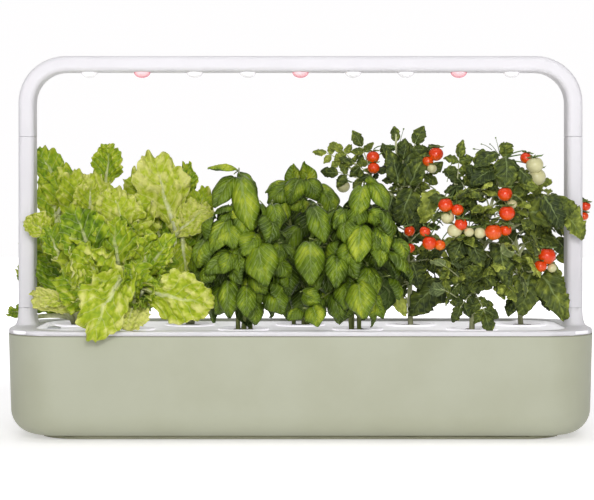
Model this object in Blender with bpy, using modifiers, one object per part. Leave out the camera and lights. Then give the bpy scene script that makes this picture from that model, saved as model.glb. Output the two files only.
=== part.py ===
"""Countertop hydroponic garden with nine planted pods under a lamp arch.

A long water tank stands on a low plinth with four rubber feet. A white planting tray closes the tank.
Nine cups of growing medium hang through the tray in two staggered rows: three of lettuce, three of basil
and three of tomato. A float in a well shows the water level, and water is poured in beside it.
Two sockets at the ends of the tray hold the legs, each made of two plug-in extension arms, and the
lamp arch plugs into the upper arms. The lamp bar holds nine lensed LEDs on one board.

Metres, +Z up. The origin is on the floor under the middle of the garden. The front faces -Y.
"""

import math
from dataclasses import dataclass

import bmesh
import bpy
from mathutils import Matrix, Vector

MM = 0.001

# Fits shared by all the pieces.
SEAT_GAP = 0.3 * MM  # between two pieces that rest on each other
OVERRUN = 2 * MM  # how far a cutter passes the face that it cuts
WELD = 0.01 * MM

# Body: the outline that the tank and the tray share.
BODY_LENGTH = 620 * MM
BODY_DEPTH = 185 * MM
BODY_CORNER = 55 * MM
BODY_HEIGHT = 117 * MM  # floor to the top of the tray's rim
CORNER_STEPS = 6

# Feet and plinth.
FOOT_RADIUS = 8 * MM
FOOT_STAND = 1 * MM
FOOT_SEAT = 1.6 * MM
FOOT_EDGE = 0.5 * MM
FOOT_INSET = 26 * MM
FOOT_SIDES = 12
PLINTH_HEIGHT = 4 * MM
PLINTH_INSET = 31 * MM
PLINTH_CORNER = 44 * MM
PLINTH_EDGE = 1.2 * MM

# Tank.
TANK_WALL = 2.6 * MM
TANK_DRAFT = 3 * MM
TANK_FILLET = 26 * MM
FILLET_STEPS = 4

# Tray.
RIM_HEIGHT = 5 * MM
RIM_WIDTH = 8.5 * MM
RIM_EDGE = 1.2 * MM
RECESS_DEPTH = 3 * MM
RECESS_END_GAP = 2 * MM
LIP_DEPTH = 9 * MM
LIP_WALL = 2 * MM
LIP_CLEARANCE = 0.6 * MM

# Pods: cups of growing medium in two staggered rows.
POD_COUNT = 9
POD_END_MARGIN = 66 * MM  # end of the tray to the middle of the first pod
POD_ROW = 32 * MM
CUP_RADIUS = 23.6 * MM
CUP_CLEARANCE = 0.4 * MM
CUP_FLANGE = 3.4 * MM
CUP_FLANGE_THICKNESS = 1.5 * MM
CUP_DEPTH = 52 * MM
CUP_FOOT_RADIUS = 17 * MM
CUP_WALL = 1.3 * MM
CUP_DRAIN_RADIUS = 8 * MM
COLLAR_WALL = 2 * MM
COLLAR_DEPTH = 6 * MM
MEDIUM_CLEARANCE = 0.4 * MM
MEDIUM_SINK = 1 * MM
MEDIUM_CROWN = 1.4 * MM
CUP_SIDES = 16

# Fill hole, float well and float, in the free front corner of the tray.
WELL_END_MARGIN = 44 * MM
WELL_Y = -14 * MM
WELL_RADIUS = 10 * MM
WELL_WALL = 1.6 * MM
WELL_FLOOR_GAP = 14 * MM  # holds the float above the reserve that the pump draws from
WELL_STOP_HEIGHT = 2 * MM
WELL_STOP_RADIUS = 7 * MM
WELL_SLOT_WIDTH = 5 * MM
WELL_SLOT_MARGIN = 12 * MM
FILL_END_MARGIN = 62 * MM
FILL_Y = -50 * MM
FILL_RADIUS = 15 * MM
WELL_SIDES = 16
FLOAT_CLEARANCE = 0.8 * MM
FLOAT_HEIGHT = 34 * MM
FLOAT_EDGE = 1.5 * MM
FLOAT_PROUD = 2.4 * MM
FLOAT_DOME = 3.6 * MM
FLOAT_DOME_RINGS = 2

# Legs: sockets on the tray, extension arms and the lamp's own ends share one section.
LEG_WIDTH = 17 * MM
LEG_DEPTH = 30 * MM
LEG_CORNER = 5.5 * MM
LEG_INSET = 13.5 * MM
LEG_CORNER_STEPS = 5
SOCKET_HEIGHT = 19 * MM
SOCKET_FLARE = 4.4 * MM
SOCKET_STEPS = 5
ARM_HEIGHT = 92 * MM
TONGUE_WIDTH = 11 * MM
TONGUE_DEPTH = 18 * MM
TONGUE_CORNER = 2 * MM
TONGUE_CORNER_STEPS = 1
TONGUE_LENGTH = 15 * MM
TONGUE_CLEARANCE = 0.3 * MM
TONGUE_LEAD = 1 * MM
POCKET_DEPTH = 17 * MM
SEAM_EDGE = 0.25 * MM

# Inlet for the power lead, in the back of the right socket.
JACK_RADIUS = 4 * MM
JACK_LENGTH = 6 * MM
JACK_BORE = 2.8 * MM
JACK_BORE_DEPTH = 5 * MM
JACK_PIN_RADIUS = 1 * MM
JACK_CLEARANCE = 0.3 * MM
JACK_PROUD = 0.6 * MM
JACK_RISE = 8 * MM
JACK_SIDES = 12

# Lamp.
LAMP_HEIGHT = 87 * MM
BEND_RADIUS = 42 * MM
BEND_STEPS = 12
CHANNEL_WIDTH = 21.4 * MM
CHANNEL_DEPTH = 8 * MM
CHANNEL_END_GAP = 6 * MM
COVER_THICKNESS = 1.4 * MM
COVER_SINK = 0.2 * MM
COVER_CLEARANCE = 0.3 * MM
LED_COUNT = 9
LED_END_MARGIN = 80.4 * MM  # end of the garden to the middle of the first lens
LENS_RADIUS = 8.8 * MM
LENS_DROP = 6 * MM
LENS_FLANGE = 1.2 * MM
LENS_FLANGE_THICKNESS = 1 * MM
LENS_CLEARANCE = 0.3 * MM
LENS_SIDES = 12
LENS_RINGS = 2
BOARD_THICKNESS = 1.6 * MM
BOARD_MARGIN = 1 * MM
DRIVER_LENGTH = 44 * MM
DRIVER_WIDTH = 12 * MM
DRIVER_HEIGHT = 1.8 * MM

# Power button on top of the lamp bar.
BUTTON_END_MARGIN = 74 * MM
BUTTON_RADIUS = 4.6 * MM
BUTTON_CLEARANCE = 0.3 * MM
BUTTON_PROUD = 0.4 * MM
BUTTON_TRAVEL = 1 * MM
BUTTON_HEIGHT = 4 * MM
BUTTON_EDGE = 0.4 * MM
BUTTON_SIDES = 12

# Plants. Each one grows in its own plan cell, so that a pod lifts straight out past its neighbours.
CELL_GAP = 0.6 * MM
CELL_PAST_FRONT = 15.5 * MM  # how far leaves may hang past the tray's front and back
CELL_PAST_END = 11 * MM
CELL_CLEARANCE = 14 * MM  # how near to a cell's side its leaves start to be drawn in
LEG_KEEP_OUT = 3 * MM
LENS_MARGIN = 2 * MM
GROUND_GAP = 1.5 * MM
GOLDEN_ANGLE = math.radians(137.5)
LEAF_SIDES = 4
LEAF_RINGS = 4
STEM_RADIUS = 5.5 * MM
STEM_TAPER_SHARE = 0.6
STEM_SIDES = 6


@dataclass
class Habit:
    """How one kind of plant grows. The heart is the dense middle that its leaves start from."""

    heart_base: float
    heart_width: float
    heart_depth: float
    heart_height: float
    leaf_length: float
    leaf_width: float
    leaf_thickness: float
    leaf_count: int
    low_rise: float
    high_rise: float
    droop: float
    fruit_radius: float = 0.0
    fruit_count: int = 0


LETTUCE = Habit(
    heart_base=4 * MM,
    heart_width=84 * MM,
    heart_depth=60 * MM,
    heart_height=134 * MM,
    leaf_length=76 * MM,
    leaf_width=64 * MM,
    leaf_thickness=12 * MM,
    leaf_count=12,
    low_rise=math.radians(40),
    high_rise=math.radians(92),
    droop=math.radians(75),
)
BASIL = Habit(
    heart_base=6 * MM,
    heart_width=76 * MM,
    heart_depth=54 * MM,
    heart_height=146 * MM,
    leaf_length=60 * MM,
    leaf_width=46 * MM,
    leaf_thickness=14 * MM,
    leaf_count=12,
    low_rise=math.radians(30),
    high_rise=math.radians(84),
    droop=math.radians(115),
)
TOMATO = Habit(
    heart_base=28 * MM,
    heart_width=72 * MM,
    heart_depth=52 * MM,
    heart_height=148 * MM,
    leaf_length=60 * MM,
    leaf_width=44 * MM,
    leaf_thickness=12 * MM,
    leaf_count=12,
    low_rise=math.radians(20),
    high_rise=math.radians(86),
    droop=math.radians(105),
    fruit_radius=9.5 * MM,
    fruit_count=4,
)
HABITS = (("lettuce", LETTUCE), ("basil", BASIL), ("tomato", TOMATO))
LEAF_ROOT_SHARE = 0.6  # how far out from the heart's middle its leaves start
LEAST_LEVEL_SHARE = 0.4
LEAST_SIZE_SHARE = 0.45
FRUIT_REACH_SHARE = 0.95

# Levels and places that follow from the sizes above.
PLINTH_BOTTOM = FOOT_STAND
TANK_BOTTOM = PLINTH_BOTTOM + PLINTH_HEIGHT + SEAT_GAP
TANK_TOP = BODY_HEIGHT - RIM_HEIGHT - SEAT_GAP
TRAY_BOTTOM = TANK_TOP + SEAT_GAP
DECK_TOP = BODY_HEIGHT - RECESS_DEPTH
DECK_MIDDLE = (TRAY_BOTTOM + DECK_TOP) / 2  # where what hangs below the deck is joined to it
CUP_TOP = DECK_TOP + SEAT_GAP + CUP_FLANGE_THICKNESS
CUP_BOTTOM = TRAY_BOTTOM - CUP_DEPTH
HOLE_RADIUS = CUP_RADIUS + CUP_CLEARANCE
LEG_X = BODY_LENGTH / 2 - LEG_INSET
POD_PITCH = (BODY_LENGTH - 2 * POD_END_MARGIN) / (POD_COUNT - 1)
WELL_X = WELL_END_MARGIN - BODY_LENGTH / 2
FILL_X = FILL_END_MARGIN - BODY_LENGTH / 2
LED_PITCH = (BODY_LENGTH - 2 * LED_END_MARGIN) / (LED_COUNT - 1)
BUTTON_X = BODY_LENGTH / 2 - BUTTON_END_MARGIN
CELL_FRONT = BODY_DEPTH / 2 + CELL_PAST_FRONT
CELL_END = BODY_LENGTH / 2 + CELL_PAST_END
SOCKET_TOP = BODY_HEIGHT + SOCKET_HEIGHT
LOWER_ARM_BOTTOM = SOCKET_TOP + SEAT_GAP
UPPER_ARM_BOTTOM = LOWER_ARM_BOTTOM + ARM_HEIGHT + SEAT_GAP
LAMP_BOTTOM = UPPER_ARM_BOTTOM + ARM_HEIGHT + SEAT_GAP
LAMP_TOP = LAMP_BOTTOM + LAMP_HEIGHT
BAR_BOTTOM = LAMP_TOP - LEG_WIDTH
CHANNEL_LENGTH = 2 * (LEG_X - BEND_RADIUS - CHANNEL_END_GAP)
WELL_BOTTOM = TANK_BOTTOM + TANK_WALL + WELL_FLOOR_GAP
POD_LIFT = DECK_TOP - CUP_BOTTOM  # raises a cup clear of its hole
PLANT_CEILING = BAR_BOTTOM - LENS_DROP - POD_LIFT - LENS_MARGIN
POCKET_WIDTH = TONGUE_WIDTH + 2 * TONGUE_CLEARANCE
POCKET_BREADTH = TONGUE_DEPTH + 2 * TONGUE_CLEARANCE
POCKET_CORNER = TONGUE_CORNER + TONGUE_CLEARANCE


def clear_scene():
    for obj in list(bpy.data.objects):
        bpy.data.objects.remove(obj)


def collection(name, hidden=False):
    made = bpy.data.collections.new(name)
    bpy.context.scene.collection.children.link(made)
    made.hide_render = hidden
    return made


clear_scene()
GARDEN = collection("hydroponic_garden")
CUTTERS = collection("cutters", hidden=True)


def material(name, colour, roughness, metallic=0.0):
    made = bpy.data.materials.new(name)
    made.use_nodes = True
    made.diffuse_color = (*colour, 1.0)
    shader = made.node_tree.nodes["Principled BSDF"]
    shader.inputs["Base Color"].default_value = (*colour, 1.0)
    shader.inputs["Roughness"].default_value = roughness
    shader.inputs["Metallic"].default_value = metallic
    return made


SAGE_PLASTIC = material("sage_plastic", (0.48, 0.49, 0.35), 0.45)
PLINTH_PLASTIC = material("plinth_plastic", (0.16, 0.16, 0.11), 0.6)
WHITE_PLASTIC = material("white_plastic", (0.83, 0.82, 0.84), 0.35)
RUBBER = material("rubber", (0.03, 0.03, 0.03), 0.9)
CUP_PLASTIC = material("cup_plastic", (0.8, 0.8, 0.78), 0.4)
SOIL = material("growing_medium", (0.06, 0.035, 0.02), 0.95)
FLOAT_PLASTIC = material("float_plastic", (0.75, 0.76, 0.78), 0.4)
CLEAR_LENS = material("clear_lens", (0.86, 0.85, 0.87), 0.1)
RED_LENS = material("red_lens", (0.8, 0.12, 0.16), 0.1)
BOARD_METAL = material("board_metal", (0.72, 0.73, 0.74), 0.4, 1.0)
BLACK_PLASTIC = material("black_plastic", (0.02, 0.02, 0.02), 0.5)
LETTUCE_LEAF = material("lettuce_leaf", (0.38, 0.5, 0.04), 0.5)
BASIL_LEAF = material("basil_leaf", (0.11, 0.25, 0.02), 0.4)
TOMATO_LEAF = material("tomato_leaf", (0.06, 0.11, 0.03), 0.6)


def node(name, mesh, finish):
    """A piece of the garden, named as its node."""
    obj = bpy.data.objects.new(name, mesh)
    GARDEN.objects.link(obj)
    if not mesh.materials:
        mesh.materials.append(finish)
    return obj


def helper(name, mesh):
    """A cutter, or a shape that a Boolean joins to a piece. It never shows."""
    obj = bpy.data.objects.new(name, mesh)
    CUTTERS.objects.link(obj)
    obj.hide_render = True
    obj.display_type = "WIRE"
    return obj


def finished(bm, name):
    """Writes the bmesh to a new mesh with its faces turned outwards and its round sides smooth."""
    bmesh.ops.recalc_face_normals(bm, faces=bm.faces)
    mesh = bpy.data.meshes.new(name)
    bm.to_mesh(mesh)
    bm.free()
    mesh.shade_smooth()
    mesh.set_sharp_from_angle(angle=math.radians(35))
    return mesh


def add_slab(bm, length, depth, low, high, corner, steps):
    """A box with rounded upright corners, centred on the Z axis."""
    made = bmesh.ops.create_cube(bm, size=1)
    place = Matrix.Translation((0, 0, (low + high) / 2)) @ Matrix.Diagonal((length, depth, high - low, 1))
    bmesh.ops.transform(bm, matrix=place, verts=made["verts"])
    upright = [e for v in made["verts"] for e in v.link_edges if is_upright(e)]
    bmesh.ops.bevel(bm, geom=list(set(upright)), offset=corner, segments=steps, profile=0.5, affect="EDGES")


def is_upright(edge):
    low, high = edge.verts
    return abs(low.co.z - high.co.z) > WELD


def slab_mesh(name, length, depth, low, high, corner, steps=CORNER_STEPS):
    bm = bmesh.new()
    add_slab(bm, length, depth, low, high, corner, steps)
    return finished(bm, name)


def level_edges(bm, height):
    return [e for e in bm.edges if all(abs(v.co.z - height) < WELD for v in e.verts)]


def soften(bm, height, width, steps=1):
    """Bevels the outline of a slab at this height."""
    outline = level_edges(bm, height)
    bmesh.ops.bevel(bm, geom=outline, offset=width, segments=steps, profile=0.5, affect="EDGES")


def cylinder_mesh(name, radius, low, high, sides):
    bm = bmesh.new()
    made = bmesh.ops.create_cone(
        bm, cap_ends=True, segments=sides, radius1=radius, radius2=radius, depth=high - low
    )
    bmesh.ops.translate(bm, vec=(0, 0, (low + high) / 2), verts=made["verts"])
    return finished(bm, name)


def boolean(obj, operation, others):
    """Cuts or joins one helper, or each of a list of helpers, through a collection."""
    group = bpy.data.collections.new(obj.name + "_" + operation.lower())
    CUTTERS.children.link(group)
    for other in others:
        CUTTERS.objects.unlink(other)
        group.objects.link(other)
    modifier = obj.modifiers.new(operation.lower(), "BOOLEAN")
    modifier.operation = operation
    modifier.operand_type = "COLLECTION"
    modifier.collection = group


def turned(name, profile, sides, finish):
    """Spins a closed or axis-to-axis profile of (radius, height) points round the Z axis."""
    bm = bmesh.new()
    verts = [bm.verts.new((radius, 0, height)) for radius, height in profile]
    for first, second in zip(verts, verts[1:]):
        bm.edges.new((first, second))
    if profile[0][0] > WELD:
        bm.edges.new((verts[-1], verts[0]))
    mesh = bpy.data.meshes.new(name)
    bm.to_mesh(mesh)
    bm.free()
    obj = node(name, mesh, finish)
    add_screw(obj, sides)
    return obj


def add_screw(obj, sides):
    screw = obj.modifiers.new("turn", "SCREW")
    screw.steps = sides
    screw.render_steps = sides
    screw.use_merge_vertices = True
    screw.merge_threshold = WELD
    screw.use_smooth_shade = True


def repeat(obj, name, place):
    """A further copy of a piece, sharing its mesh."""
    copy = bpy.data.objects.new(name, obj.data)
    GARDEN.objects.link(copy)
    for modifier in obj.modifiers:
        if modifier.type == "SCREW":
            add_screw(copy, modifier.steps)
    copy.location = place
    return copy


def pod_place(index):
    """Centre of a pod in plan. Odd pods, counted from one, stand in the rear row."""
    x = (index - (POD_COUNT - 1) / 2) * POD_PITCH
    y = POD_ROW if index % 2 == 0 else -POD_ROW
    return x, y


# Feet and plinth

def make_feet_and_plinth():
    length = BODY_LENGTH - 2 * PLINTH_INSET
    depth = BODY_DEPTH - 2 * PLINTH_INSET
    top = PLINTH_BOTTOM + PLINTH_HEIGHT
    bm = bmesh.new()
    add_slab(bm, length, depth, PLINTH_BOTTOM, top, PLINTH_CORNER, CORNER_STEPS)
    soften(bm, PLINTH_BOTTOM, PLINTH_EDGE)
    plinth = node("plinth", finished(bm, "plinth"), PLINTH_PLASTIC)
    pocket = cylinder_mesh(
        "foot_pocket", FOOT_RADIUS + SEAT_GAP, PLINTH_BOTTOM - OVERRUN, PLINTH_BOTTOM + FOOT_SEAT, FOOT_SIDES
    )
    profile = [
        (0, PLINTH_BOTTOM + FOOT_SEAT - SEAT_GAP),
        (FOOT_RADIUS, PLINTH_BOTTOM + FOOT_SEAT - SEAT_GAP),
        (FOOT_RADIUS, FOOT_EDGE),
        (FOOT_RADIUS - FOOT_EDGE, 0),
        (0, 0),
    ]
    places = {
        "foot_front_left": (-1, -1),
        "foot_front_right": (1, -1),
        "foot_rear_left": (-1, 1),
        "foot_rear_right": (1, 1),
    }
    first = None
    pockets = []
    for name, (side, row) in places.items():
        place = (side * (length / 2 - FOOT_INSET), row * (depth / 2 - FOOT_INSET), 0)
        if first is None:
            first = turned(name, profile, FOOT_SIDES, RUBBER)
            first.location = place
        else:
            repeat(first, name, place)
        cutter = helper(name + "_pocket", pocket)
        cutter.location = place
        pockets.append(cutter)
    boolean(plinth, "DIFFERENCE", pockets)


# Tank

def make_tank():
    bm = bmesh.new()
    add_slab(bm, BODY_LENGTH, BODY_DEPTH, TANK_BOTTOM, TANK_TOP, BODY_CORNER, CORNER_STEPS)
    soften(bm, TANK_BOTTOM, TANK_FILLET, FILLET_STEPS)
    for v in bm.verts:
        depth_share = (TANK_TOP - v.co.z) / (TANK_TOP - TANK_BOTTOM)
        v.co.x *= 1 - depth_share * TANK_DRAFT / (BODY_LENGTH / 2)
        v.co.y *= 1 - depth_share * TANK_DRAFT / (BODY_DEPTH / 2)
    lid = [f for f in bm.faces if all(abs(v.co.z - TANK_TOP) < WELD for v in f.verts)]
    bmesh.ops.delete(bm, geom=lid, context="FACES_ONLY")
    tank = node("tank", finished(bm, "tank"), SAGE_PLASTIC)
    wall = tank.modifiers.new("wall", "SOLIDIFY")
    wall.thickness = TANK_WALL
    wall.offset = -1
    wall.use_even_offset = True


# Tray with its collars, float well and leg sockets

def lip_mesh():
    """An open band just inside the tank's mouth, which Solidify thickens inwards."""
    inset = TANK_WALL + LIP_CLEARANCE + TANK_DRAFT * LIP_DEPTH / (TANK_TOP - TANK_BOTTOM)
    bm = bmesh.new()
    add_slab(
        bm,
        BODY_LENGTH - 2 * inset,
        BODY_DEPTH - 2 * inset,
        TRAY_BOTTOM - LIP_DEPTH,
        DECK_MIDDLE,
        BODY_CORNER - inset,
        CORNER_STEPS,
    )
    flat = [f for f in bm.faces if abs(f.normal.z) > 0.5]
    bmesh.ops.delete(bm, geom=flat, context="FACES_ONLY")
    return finished(bm, "tray_lip")


def flared_socket_mesh(name, x):
    """A leg socket whose foot spreads into the rim on a concave curve."""
    bm = bmesh.new()
    rings = [(0, SOCKET_TOP)]
    for step in range(1, SOCKET_STEPS + 1):
        turn = math.pi / 2 * step / SOCKET_STEPS
        rings.append((SOCKET_FLARE * (1 - math.cos(turn)), SOCKET_TOP - SOCKET_HEIGHT * math.sin(turn)))
    rings.append((SOCKET_FLARE, DECK_MIDDLE))
    loft_legs(bm, rings)
    bmesh.ops.translate(bm, vec=(x, 0, 0), verts=bm.verts)
    return finished(bm, name)


def section_points(width, depth, corner, steps):
    """Points of a rounded rectangle, the section that the legs and the lamp share."""
    points = []
    for turn, (side, end) in enumerate([(1, 1), (-1, 1), (-1, -1), (1, -1)]):
        for step in range(steps + 1):
            angle = math.pi / 2 * (turn + step / steps)
            points.append(
                (
                    side * (width / 2 - corner) + corner * math.cos(angle),
                    end * (depth / 2 - corner) + corner * math.sin(angle),
                )
            )
    return points


def loft_legs(bm, rings):
    """Bridges leg sections that are each spread by an amount and set at a height."""
    loops = []
    for spread, height in rings:
        points = section_points(
            LEG_WIDTH + 2 * spread, LEG_DEPTH + 2 * spread, LEG_CORNER + spread, LEG_CORNER_STEPS
        )
        verts = [bm.verts.new((x, y, height)) for x, y in points]
        loops.append([bm.edges.new((a, b)) for a, b in zip(verts, verts[1:] + verts[:1])])
    for upper, lower in zip(loops, loops[1:]):
        bmesh.ops.bridge_loops(bm, edges=upper + lower)
    for loop in (loops[0], loops[-1]):
        bmesh.ops.contextual_create(bm, geom=loop)


def make_tray():
    bm = bmesh.new()
    add_slab(bm, BODY_LENGTH, BODY_DEPTH, TRAY_BOTTOM, BODY_HEIGHT, BODY_CORNER, CORNER_STEPS)
    soften(bm, BODY_HEIGHT, RIM_EDGE)
    tray = node("tray", finished(bm, "tray"), WHITE_PLASTIC)

    recess_length = 2 * (LEG_X - LEG_WIDTH / 2 - SOCKET_FLARE - RECESS_END_GAP)
    recess = helper(
        "recess",
        slab_mesh(
            "recess",
            recess_length,
            BODY_DEPTH - 2 * RIM_WIDTH,
            DECK_TOP,
            BODY_HEIGHT + OVERRUN,
            BODY_CORNER - RIM_WIDTH,
        ),
    )
    boolean(tray, "DIFFERENCE", [recess])

    lip = helper("lip", lip_mesh())
    wall = lip.modifiers.new("wall", "SOLIDIFY")
    wall.thickness = LIP_WALL
    wall.offset = -1
    additions = [lip]
    cuts = []
    collar = cylinder_mesh(
        "collar",
        HOLE_RADIUS + COLLAR_WALL,
        TRAY_BOTTOM - COLLAR_DEPTH,
        DECK_MIDDLE,
        CUP_SIDES,
    )
    hole = cylinder_mesh(
        "hole", HOLE_RADIUS, TRAY_BOTTOM - COLLAR_DEPTH - OVERRUN, DECK_TOP + OVERRUN, CUP_SIDES
    )
    for index in range(POD_COUNT):
        x, y = pod_place(index)
        ring = helper(f"collar_{index + 1}", collar)
        bore = helper(f"hole_{index + 1}", hole)
        ring.location = bore.location = (x, y, 0)
        additions.append(ring)
        cuts.append(bore)

    stop_top = WELL_BOTTOM + WELL_STOP_HEIGHT
    cut_top = DECK_TOP + OVERRUN
    tube = cylinder_mesh("well", WELL_RADIUS + WELL_WALL, WELL_BOTTOM, DECK_MIDDLE, WELL_SIDES)
    tube_bore = cylinder_mesh("well_bore", WELL_RADIUS, stop_top, cut_top, WELL_SIDES)
    stop_bore = cylinder_mesh(
        "well_stop", WELL_STOP_RADIUS, WELL_BOTTOM - OVERRUN, stop_top + OVERRUN, WELL_SIDES
    )
    well = helper("well", tube)
    bore = helper("well_bore", tube_bore)
    stop = helper("well_stop", stop_bore)
    slot_low = WELL_BOTTOM + WELL_SLOT_MARGIN
    slot_high = TRAY_BOTTOM - WELL_SLOT_MARGIN
    slot = bmesh.new()
    bmesh.ops.create_cube(slot, size=1)
    slot_length = 2 * (WELL_RADIUS + WELL_WALL + OVERRUN)
    bmesh.ops.scale(slot, vec=(slot_length, WELL_SLOT_WIDTH, slot_high - slot_low), verts=slot.verts)
    bmesh.ops.translate(slot, vec=(0, 0, (slot_low + slot_high) / 2), verts=slot.verts)
    slots = helper("well_slots", finished(slot, "well_slots"))
    for piece in (well, bore, stop, slots):
        piece.location = (WELL_X, WELL_Y, 0)
    fill_bore = cylinder_mesh("fill_hole", FILL_RADIUS, TRAY_BOTTOM - OVERRUN, cut_top, WELL_SIDES)
    fill = helper("fill_hole", fill_bore)
    fill.location = (FILL_X, FILL_Y, 0)
    additions.append(well)
    cuts += [bore, stop, slots, fill]

    for name, side in (("left", -1), ("right", 1)):
        additions.append(helper(f"socket_{name}", flared_socket_mesh(f"socket_{name}", side * LEG_X)))
        pocket = helper(f"socket_pocket_{name}", pocket_mesh(f"socket_pocket_{name}", SOCKET_TOP))
        pocket.location = (side * LEG_X, 0, 0)
        cuts.append(pocket)

    jack_bore = cylinder_mesh(
        "jack_hole", JACK_RADIUS + JACK_CLEARANCE, 0, JACK_LENGTH + OVERRUN, JACK_SIDES
    )
    jack_hole = helper("jack_hole", jack_bore)
    jack_hole.rotation_euler = (-math.pi / 2, 0, 0)
    jack_hole.location = (LEG_X, jack_front() - SEAT_GAP, BODY_HEIGHT + JACK_RISE)
    cuts.append(jack_hole)
    boolean(tray, "UNION", additions)
    boolean(tray, "DIFFERENCE", cuts)


def jack_front():
    """Where the inlet's inner end lies, for its mouth to stand just proud of the socket's flared back."""
    turn = math.asin(1 - JACK_RISE / SOCKET_HEIGHT)
    back = LEG_DEPTH / 2 + SOCKET_FLARE * (1 - math.cos(turn))
    return back + JACK_PROUD - JACK_LENGTH


def pocket_mesh(name, top):
    return slab_mesh(
        name,
        POCKET_WIDTH,
        POCKET_BREADTH,
        top - POCKET_DEPTH,
        top + OVERRUN,
        POCKET_CORNER,
        TONGUE_CORNER_STEPS,
    )


def make_jack():
    bore_floor = JACK_LENGTH - JACK_BORE_DEPTH
    jack = turned(
        "power_inlet",
        [
            (0, JACK_LENGTH - JACK_PIN_RADIUS),
            (JACK_PIN_RADIUS, JACK_LENGTH - JACK_PIN_RADIUS),
            (JACK_PIN_RADIUS, bore_floor),
            (JACK_BORE, bore_floor),
            (JACK_BORE, JACK_LENGTH),
            (JACK_RADIUS, JACK_LENGTH),
            (JACK_RADIUS, 0),
            (0, 0),
        ],
        JACK_SIDES,
        BLACK_PLASTIC,
    )
    jack.rotation_euler = (-math.pi / 2, 0, 0)
    jack.location = (LEG_X, jack_front(), BODY_HEIGHT + JACK_RISE)


# Float

def make_float():
    """The float rides at the top of its well while the tank is full."""
    radius = WELL_RADIUS - FLOAT_CLEARANCE
    top = DECK_TOP + FLOAT_PROUD
    bottom = top - FLOAT_HEIGHT
    profile = [(0, top)]
    for ring in range(1, FLOAT_DOME_RINGS + 1):
        turn = math.pi / 2 * ring / FLOAT_DOME_RINGS
        profile.append((radius * math.sin(turn), top - FLOAT_DOME * (1 - math.cos(turn))))
    profile += [(radius, bottom + FLOAT_EDGE), (radius - FLOAT_EDGE, bottom), (0, bottom)]
    level_float = turned("level_float", profile, WELL_SIDES, FLOAT_PLASTIC)
    level_float.location = (WELL_X, WELL_Y, 0)


# Pods

def make_cups():
    foot = CUP_BOTTOM
    profile = [
        (CUP_RADIUS + CUP_FLANGE, CUP_TOP),
        (CUP_RADIUS + CUP_FLANGE, DECK_TOP + SEAT_GAP),
        (CUP_RADIUS, DECK_TOP + SEAT_GAP),
        (CUP_FOOT_RADIUS, foot),
        (CUP_DRAIN_RADIUS, foot),
        (CUP_DRAIN_RADIUS, foot + CUP_WALL),
        (CUP_FOOT_RADIUS - CUP_WALL, foot + CUP_WALL),
        (CUP_RADIUS - CUP_WALL, DECK_TOP + SEAT_GAP),
        (CUP_RADIUS - CUP_WALL, CUP_TOP),
    ]
    filling = CUP_WALL + MEDIUM_CLEARANCE
    medium = [
        (0, CUP_TOP - MEDIUM_SINK),
        (CUP_RADIUS - filling, CUP_TOP - MEDIUM_SINK - MEDIUM_CROWN),
        (CUP_FOOT_RADIUS - filling, foot + CUP_WALL + SEAT_GAP),
        (0, foot + CUP_WALL + SEAT_GAP),
    ]
    for index in range(POD_COUNT):
        place = (*pod_place(index), 0)
        if index == 0:
            cup = turned("cup_1", profile, CUP_SIDES, CUP_PLASTIC)
            plug = turned("growing_medium_1", medium, CUP_SIDES, SOIL)
            cup.location = plug.location = place
        else:
            repeat(cup, f"cup_{index + 1}", place)
            repeat(plug, f"growing_medium_{index + 1}", place)


# Legs

def arm_mesh(name, bottom):
    """An extension arm: a leg section with soft seam edges and a tongue below."""
    top = bottom + ARM_HEIGHT
    bm = bmesh.new()
    loft_legs(
        bm,
        [(-SEAM_EDGE, top), (0, top - SEAM_EDGE), (0, bottom + SEAM_EDGE), (-SEAM_EDGE, bottom)],
    )
    return finished(bm, name)


def tongue_mesh(name, top):
    bm = bmesh.new()
    low = top - TONGUE_LENGTH
    add_slab(bm, TONGUE_WIDTH, TONGUE_DEPTH, low, top + OVERRUN, TONGUE_CORNER, TONGUE_CORNER_STEPS)
    soften(bm, low, TONGUE_LEAD)
    return finished(bm, name)


def make_arms():
    for level, bottom in (("lower", LOWER_ARM_BOTTOM), ("upper", UPPER_ARM_BOTTOM)):
        mesh = arm_mesh(f"{level}_arm", bottom)
        tongue = tongue_mesh(f"{level}_arm_tongue", bottom)
        pocket = pocket_mesh(f"{level}_arm_pocket", bottom + ARM_HEIGHT)
        for name, side in (("left", -1), ("right", 1)):
            arm = node(f"{level}_arm_{name}", mesh, WHITE_PLASTIC)
            plug = helper(f"{level}_arm_tongue_{name}", tongue)
            socket = helper(f"{level}_arm_pocket_{name}", pocket)
            arm.location = plug.location = socket.location = (side * LEG_X, 0, 0)
            boolean(arm, "UNION", [plug])
            boolean(arm, "DIFFERENCE", [socket])


# Lamp

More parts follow.
